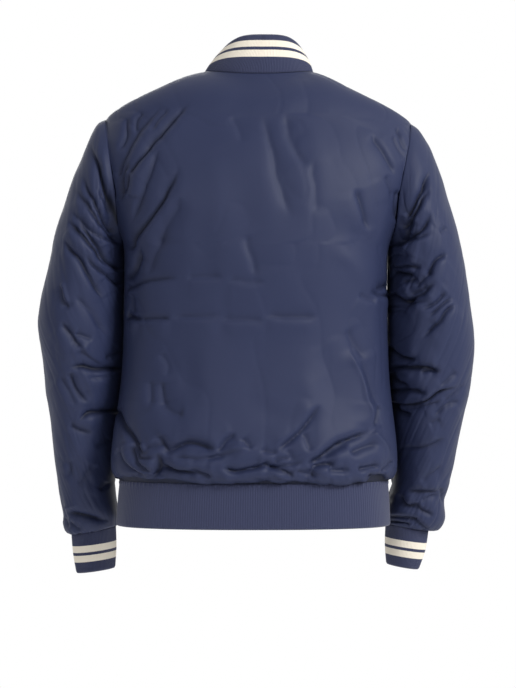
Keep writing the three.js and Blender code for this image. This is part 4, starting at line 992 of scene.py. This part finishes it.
def panel(name, half, creases, seed, folds=(), both_sides=False, side=1):
    points = panel_grid(half, both_sides)
    if side < 0:
        points = mirrored(points, -1)[:, ::-1]
    x, z = points[..., 0], points[..., 2]
    cloth = cloth_places(points)
    u, v = cloth[..., 0], cloth[..., 1]
    if both_sides:
        lift = on_curve(HEM_LIFT["lift"], position_of(HEM_LIFT["x"], x))
    else:
        lift = 4 + 4 * waves(x, x * 0, (34, 34), seed)
    points[..., 2] += lift * smoothstep(v, 0, 6) * bell((z - BULGE_Z) / BULGE_RISE)
    points = softened(softened(points, 7), 5)
    press, painted_shade = panel_press(x, z, u, v, creases, folds, seed)
    return wall(name, pressed(points, press + edge_dip(points)), shell_cloth, SHELL, cloth, painted_shade)


# ---- sleeves and cuffs ----

SLEEVE_ROWS, SLEEVE_COLUMNS = 290, 200
SLEEVE_RADIUS = 60  # turns the angle round a sleeve into a length, for its waves
SIDEWAYS_POWER = 0.35  # how fast creases fade towards the sleeve's inner and outer sides
CUFF_GATHER_RISE = 22  # how far up from the cuff seam a sleeve is gathered
INNER_SIDE, BODY_TOUCH_Z = (0.55, 0.9), -262  # where a sleeve's ridges are kept off the body
SLEEVE_RIDGES_LOWERED = 0.9


def tube_grid(sections, rows, columns, side):
    # Rows are spread by the length of the sleeve's middle, so they fan out at the elbow.
    levels = evenly(lambda t: tube_points(sections, t, QUARTER), 0, 1, rows)
    turns = np.linspace(0, 2 * math.pi, columns, endpoint=False)
    if side < 0:
        turns = turns[::-1]
    points = mirrored(tube_points(sections, levels[:, None], turns[None, :]), side)
    ring = np.concatenate([points, points[:, :1]], axis=1)
    cloth = np.stack([lengths_along(ring, axis=1)[:, :-1], lengths_along(points, axis=0)], axis=-1)
    return points, turns, cloth


def sleeve(name, sections, back_creases, front_creases, side, seed):
    points, turns, cloth = tube_grid(sections, SLEEVE_ROWS, SLEEVE_COLUMNS, side)
    # The creases are written for the wearer's left sleeve.
    x, z = side * points[..., 0], points[..., 2]
    facing = np.sin(turns)[None, :]
    weight = np.abs(facing) ** SIDEWAYS_POWER
    # Each side gives its pressing and its painted crease shade.
    presses = zip(crease_press(x, z, back_creases), crease_press(x, z, front_creases))
    press, painted_shade = (weight * np.where(facing > 0, *pair) for pair in presses)
    along = cloth[..., 1]
    to_cuff = along[-1:] - along
    around = turns[None, :] * SLEEVE_RADIUS * np.ones_like(along)
    press += 0.9 * waves(around, along, (60, 44), seed) + 0.4 * waves(around, along, (30, 24), seed + 1)
    # Long slanting folds, which run from the outer side down to the inner side.
    slant = (0.55 * around + 0.84 * along, 0.84 * around - 0.55 * along)
    slanting = 1.3 * crumples(*slant, (24, 90), seed + 3) + 0.6 * crumples(*slant, (13, 40), seed + 4)
    press += weight**2 * slanting
    press += 1.6 * bell(to_cuff / CUFF_GATHER_RISE) * crumples(around, along, (14, 50), seed + 2)
    inner = smoothstep(np.cos(turns)[None, :], *INNER_SIDE) * (z < BODY_TOUCH_Z)
    press = np.where(press < 0, press * (1 - SLEEVE_RIDGES_LOWERED * inner), press)
    press *= smoothstep(along, 0, 10) * smoothstep(to_cuff, 0, 6)
    shaped = pressed(points, press + edge_dip(points, around=True), around=True)
    return wall(name, shaped, shell_cloth, SHELL, cloth, painted_shade, around=True)


CUFF_ROWS, CUFF_RIBS, COLUMNS_A_RIB = 26, 92, 6
RIB_DEPTH, KNIT_EDGE = 0.3, 1.5  # how deep ribs are, and how far up from a free edge it is rounded


def knit_press(to_edge, rib_depth):
    """How far a rib knit is pressed in: between its upright ribs, and at its rounded free edge."""
    column = np.arange(to_edge.shape[1])
    return bell(to_edge / KNIT_EDGE) - rib_depth * np.cos(2 * math.pi * column / COLUMNS_A_RIB)


def cuff(name, sections, side):
    points, _, cloth = tube_grid(sections, CUFF_ROWS, CUFF_RIBS * COLUMNS_A_RIB, side)
    from_edge = cloth[-1:, :, 1] - cloth[..., 1]
    shaped = pressed(points, knit_press(from_edge, RIB_DEPTH), around=True)
    places = np.stack([cloth[..., 0], from_edge], axis=-1)
    return wall(name, shaped, cuff_knit, KNIT, places, around=True)


# ---- hem band ----

HEM_ROWS, HEM_RIBS = 24, 316
HEM_RIB_DEPTH = 0.18
BEAD_DOWN, BEAD_WIDTH = 2.5, 2.2  # where the raised bead below the band's top edge lies
BEAD_RISE, BEAD_UNEVEN = 0.7, 0.45
HEM_TUCK = 1.2  # how far its top edge goes up behind the bloused cloth


def hem_quarter(half):
    """The band's form on one half, from the side to the centre."""
    columns = HEM_RIBS * COLUMNS_A_RIB // 4
    position = np.linspace(0, 1, HEM_ROWS + 1) * (len(HEM["z"]) - 1)
    at = {name: on_curve(values, position)[:, None] for name, values in HEM.items()}
    seam = lambda t: section_points(half, 0, HEM["side"][-1], HEM[half["depth"]][-1], 2.5, t)
    angles = evenly(seam, 0, QUARTER, columns)[None, :]
    return section_points(half, at["z"], at["side"], at[half["depth"]], at["round"], angles)


def hem_band():
    front, back = hem_quarter(FRONT), hem_quarter(BACK)
    left = np.concatenate([front[:, ::-1], back[:, 1:]], axis=1)
    points = np.concatenate([left, mirrored(left, -1)[:, -2::-1]], axis=1)
    cloth = cloth_places(points)
    up = cloth[..., 1]
    column = np.arange(points.shape[1])
    bead = BEAD_RISE + BEAD_UNEVEN * np.cos(math.pi * column / COLUMNS_A_RIB)
    bead = bead * bell((up[-1:] - up - BEAD_DOWN) / BEAD_WIDTH)
    shaped = pressed(points, knit_press(up, HEM_RIB_DEPTH) - bead)
    shaped[-1, :, 2] += HEM_TUCK
    return wall("hem_rib_knit", shaped, hem_knit, KNIT, cloth)


# ---- collar ----

COLLAR_ROWS, COLLAR_RIBS = 26, 184
COLLAR_END = 9  # how far the rounded corner at the zip reaches back


def neck_inward(half, turn):
    """At points of the neckline, the direction into the jacket."""
    before, after = np.maximum(turn - 1e-3, 0), np.minimum(turn + 1e-3, QUARTER)
    along = unit(neck_points(half, after) - neck_points(half, before))
    rise = np.sin(turn)
    inward = points_of(
        -NECK_SIDE_IN[0] * np.cos(turn),
        -half["facing"] * half["neck_in"][0] * rise,
        -(NECK_SIDE_IN[1] * (1 - rise) + half["neck_in"][1] * rise),
    )
    return unit(inward - along * (inward * along).sum(axis=-1, keepdims=True))


def collar():
    columns = COLLAR_RIBS * COLUMNS_A_RIB // 4
    halves = []
    for half, start in ((FRONT, QUARTER), (BACK, 0)):
        turn = evenly(lambda t: neck_points(half, t), 0, QUARTER, columns)
        if half is FRONT:
            turn = turn[::-1]
        angle = np.degrees(QUARTER - turn if half is BACK else QUARTER + turn)
        position = position_of(COLLAR_TOP["angle"], angle)
        top = points_of(*(on_curve(COLLAR_TOP[name], position) for name in "xyz"))
        halves.append((neck_points(half, turn), top, neck_inward(half, turn)))
    foot, top, inward = (np.concatenate([a, b[1:]]) for a, b in zip(*halves))
    foot, top, inward = (np.concatenate([a, mirrored(a, -1)[-2::-1]]) for a in (foot, top, inward))
    travelled = lengths_along(foot)
    to_end = np.minimum(travelled, travelled[-1] - travelled)
    corner = np.clip(1 - to_end / COLLAR_END, 0, 1)
    reach = 1 - (1 - COLLAR_CORNER) * (1 - np.sqrt(1 - corner**2))
    t = np.linspace(0, 1, COLLAR_ROWS + 1)[:, None] * reach
    points = foot + (top - foot) * t[..., None] - inward * (COLLAR_BULGE * 4 * t * (1 - t))[..., None]
    height = np.linalg.norm(top - foot, axis=-1)
    from_top = (1 - t) * height
    up = lengths_along(points)
    shaped = pressed(points, knit_press(up[-1:] - up, RIB_DEPTH))
    places = np.stack([travelled * np.ones_like(t), from_top], axis=-1)
    return wall("collar_knit", shaped, collar_knit, KNIT, places)


# ---- zip ----

TAPE = {"inner": 3, "outer": 13, "depth": 3.3, "thickness": 1.0}
TOOTH = {"inner": -0.7, "outer": 2.6, "depth": 2.6, "thickness": 2.4, "height": 1.15, "pitch": 2.5}
PART_LEVELS = np.concatenate([np.linspace(0, 1, 14), 1 + np.arange(1, 9) / 8, 2 + np.arange(1, 5) / 4])
ZIP_FOOT, ZIP_HEAD, ZIP_BOX, SLIDER_DROP = 1.5, 1.5, 9, 9


def zip_line():
    """The line of the fronts' edges, up from the foot of the hem band."""
    hem = points_of(0, -HEM["front"][:-1], HEM["z"][:-1])
    body = panel_points(FRONT, PART_LEVELS, np.ones_like(PART_LEVELS))
    return np.concatenate([hem, body * (0, 1, 1)])


ZIP_LINE = zip_line()
ZIP_TRAVELLED = lengths_along(ZIP_LINE)
ZIP_LENGTH = ZIP_TRAVELLED[-1]


def zip_points(distance):
    return points_of(*(np.interp(distance, ZIP_TRAVELLED, ZIP_LINE[:, axis]) for axis in range(3)))


def zip_outward(distance):
    low, high = np.maximum(distance - 3, 0), np.minimum(distance + 3, ZIP_LENGTH)
    up = unit(zip_points(high) - zip_points(low))
    return points_of(0, -up[..., 2], up[..., 1])


def zip_tape(name, side):
    distance = np.linspace(ZIP_FOOT, ZIP_LENGTH - ZIP_HEAD, 161)
    middle = zip_points(distance) - zip_outward(distance) * TAPE["depth"]
    across = np.linspace(TAPE["inner"], TAPE["outer"], 5) * side
    across.sort()
    points = middle[:, None, :] + points_of(across, 0, 0)[None, :, :]
    return wall(name, points, tape_weave, TAPE["thickness"], cloth_places(points))


CUBE = np.array([(0, 0, 0), (1, 0, 0), (1, 1, 0), (0, 1, 0), (0, 0, 1), (1, 0, 1), (1, 1, 1), (0, 1, 1)])
CUBE_FACES = np.array([(0, 3, 2, 1), (4, 5, 6, 7), (0, 1, 5, 4), (1, 2, 6, 5), (2, 3, 7, 6), (3, 0, 4, 7)])


def zip_teeth(name, side):
    first = ZIP_FOOT + ZIP_BOX + TOOTH["pitch"] * (0.5 if side > 0 else 0)
    last = ZIP_LENGTH - SLIDER_DROP - 2
    distance = np.arange(first, last, TOOTH["pitch"])
    low, high = zip_points(distance), zip_points(distance + TOOTH["height"])
    out = zip_outward(distance)
    corners = []
    for across, up, depth in CUBE:
        x = side * (TOOTH["outer"] if across else TOOTH["inner"])
        corner = (high if up else low) - out * (TOOTH["depth"] + TOOTH["thickness"] * depth)
        corners.append(corner + (x, 0, 0))
    points = np.stack(corners, axis=1).reshape(-1, 3)
    order = CUBE_FACES if side < 0 else CUBE_FACES[:, ::-1]
    faces = (order[None] + 8 * np.arange(len(distance))[:, None, None]).reshape(-1, 4)
    return mesh_object(name, swayed(points), faces.tolist(), dark_metal)


# ---- pieces ----

# Flat width and length in millimetres, the share of that rectangle which the cut fills, how the cloth is
# held, and its finish.
BACK_FLAT = (570, 680, 0.83, "draped", "shell_navy")
FRONT_FLAT = (300, 680, 0.72, "draped", "shell_navy")
SLEEVE_FLAT = (480, 620, 0.7, "gathered", "shell_navy")
COLLAR_FLAT = (480, 57, 0.9, "stretched", "knit_navy")
CUFF_FLAT = (216, 60, 1.0, "stretched", "knit_navy")
HEM_FLAT = (1000, 63, 1.0, "stretched", "knit_navy")
TAPE_FLAT = (10, 570, 1.0, "stretched", "tape_navy")

sleeve_left_creases = (SLEEVE_LEFT_BACK_CREASES, SLEEVE_LEFT_FRONT_CREASES)
sleeve_right_creases = (SLEEVE_RIGHT_BACK_CREASES, SLEEVE_RIGHT_FRONT_CREASES)
CLOTH_PIECES = [
    ("back", BACK_FLAT, panel("back_cloth", BACK, BACK_CREASES, 3, BACK_FOLDS, both_sides=True)),
    ("front_left", FRONT_FLAT, panel("front_left_cloth", FRONT, FRONT_LEFT_CREASES, 11)),
    ("front_right", FRONT_FLAT, panel("front_right_cloth", FRONT, FRONT_RIGHT_CREASES, 23, side=-1)),
    ("sleeve_left", SLEEVE_FLAT, sleeve("sleeve_left_cloth", SLEEVE_LEFT, *sleeve_left_creases, 1, 31)),
    ("sleeve_right", SLEEVE_FLAT, sleeve("sleeve_right_cloth", SLEEVE_RIGHT, *sleeve_right_creases, -1, 41)),
    ("collar", COLLAR_FLAT, collar()),
    ("cuff_left", CUFF_FLAT, cuff("cuff_left_knit", CUFF_LEFT, 1)),
    ("cuff_right", CUFF_FLAT, cuff("cuff_right_knit", CUFF_RIGHT, -1)),
    ("hem_rib", HEM_FLAT, hem_band()),
    ("zip_tape_left", TAPE_FLAT, zip_tape("zip_tape_left_cloth", 1)),
    ("zip_tape_right", TAPE_FLAT, zip_tape("zip_tape_right_cloth", -1)),
]
for node, (width, length, fill, held, slot), piece in CLOTH_PIECES:
    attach(piece, "jacket")
    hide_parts(node)

for node, side in (("zip_teeth_left", 1), ("zip_teeth_right", -1)):
    piece = zip_teeth(node + "_metal", side)
    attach(piece, "jacket")
    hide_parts(node)

for node in ("zip_box", "zip_slider", "zip_pull"):
    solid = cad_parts[node]
    solid.data.materials.clear()
    solid.data.materials.append(dark_metal)

# ---- stage: pale floor far below, soft light and the camera ----


def softbox(name, place, size, power):
    """A square lamp that faces the middle of the jacket."""
    lamp = bpy.data.lights.new(name, "AREA")
    lamp.energy = power
    lamp.size = size
    made = scene_object(name, lamp)
    made.location = place
    made.rotation_euler = (Vector(place) - JACKET_MIDDLE).to_track_quat("Z", "Y").to_euler()


JACKET_MIDDLE = Vector((0, 0, -0.33))
softbox("key", (-2.1, 2.2, 1.15), 1.2, 105)
softbox("fill", (0.9, 3.3, 0.6), 1.4, 26)
softbox("front_fill", (0.4, -2.8, 0.5), 1.8, 36)

FLOOR_HALF, FLOOR_DOWN = 3000, 1600
floor_corners = FLOOR_HALF * np.array([(-1, -1, 0), (1, -1, 0), (1, 1, 0), (-1, 1, 0)]) - (0, 0, FLOOR_DOWN)
pale_floor = material("pale_floor", 0.8, 0.3, (0.8, 0.8, 0.8))[0]
mesh_object("floor", floor_corners, [(0, 1, 2, 3)], pale_floor)

# The studio is white behind the jacket and darker behind the camera.
STUDIO_DARK = 0.14
world = bpy.data.worlds.new("studio")
world.use_nodes = True
nodes, links = world.node_tree.nodes, world.node_tree.links
facing = nodes.new("ShaderNodeTexCoord")
split = nodes.new("ShaderNodeSeparateXYZ")
shading = {"From_Min": -0.1, "From_Max": 0.55, "To_Min": 1.0, "To_Max": STUDIO_DARK}
brightness = add_node(nodes, "ShaderNodeMapRange", **shading)
brightness.interpolation_type = "SMOOTHSTEP"
links.new(facing.outputs["Generated"], split.inputs["Vector"])
links.new(split.outputs["Y"], brightness.inputs["Value"])
links.new(brightness.outputs["Result"], nodes["Background"].inputs["Strength"])
nodes["Background"].inputs["Color"].default_value = (1, 1, 1, 1)
bpy.context.scene.world = world
bpy.context.scene.view_settings.view_transform = "Standard"

CAMERA_AWAY, VIEW_HEIGHT = 3.2, 0.98
lens = bpy.data.cameras.new("camera")
lens.sensor_fit = "VERTICAL"
lens.sensor_height = 36
lens.lens = lens.sensor_height * CAMERA_AWAY / VIEW_HEIGHT
camera = scene_object("camera", lens)
camera.location = (0.0013, CAMERA_AWAY, -0.387)
camera.rotation_euler = (math.radians(90), 0, math.radians(180))
bpy.context.scene.camera = camera
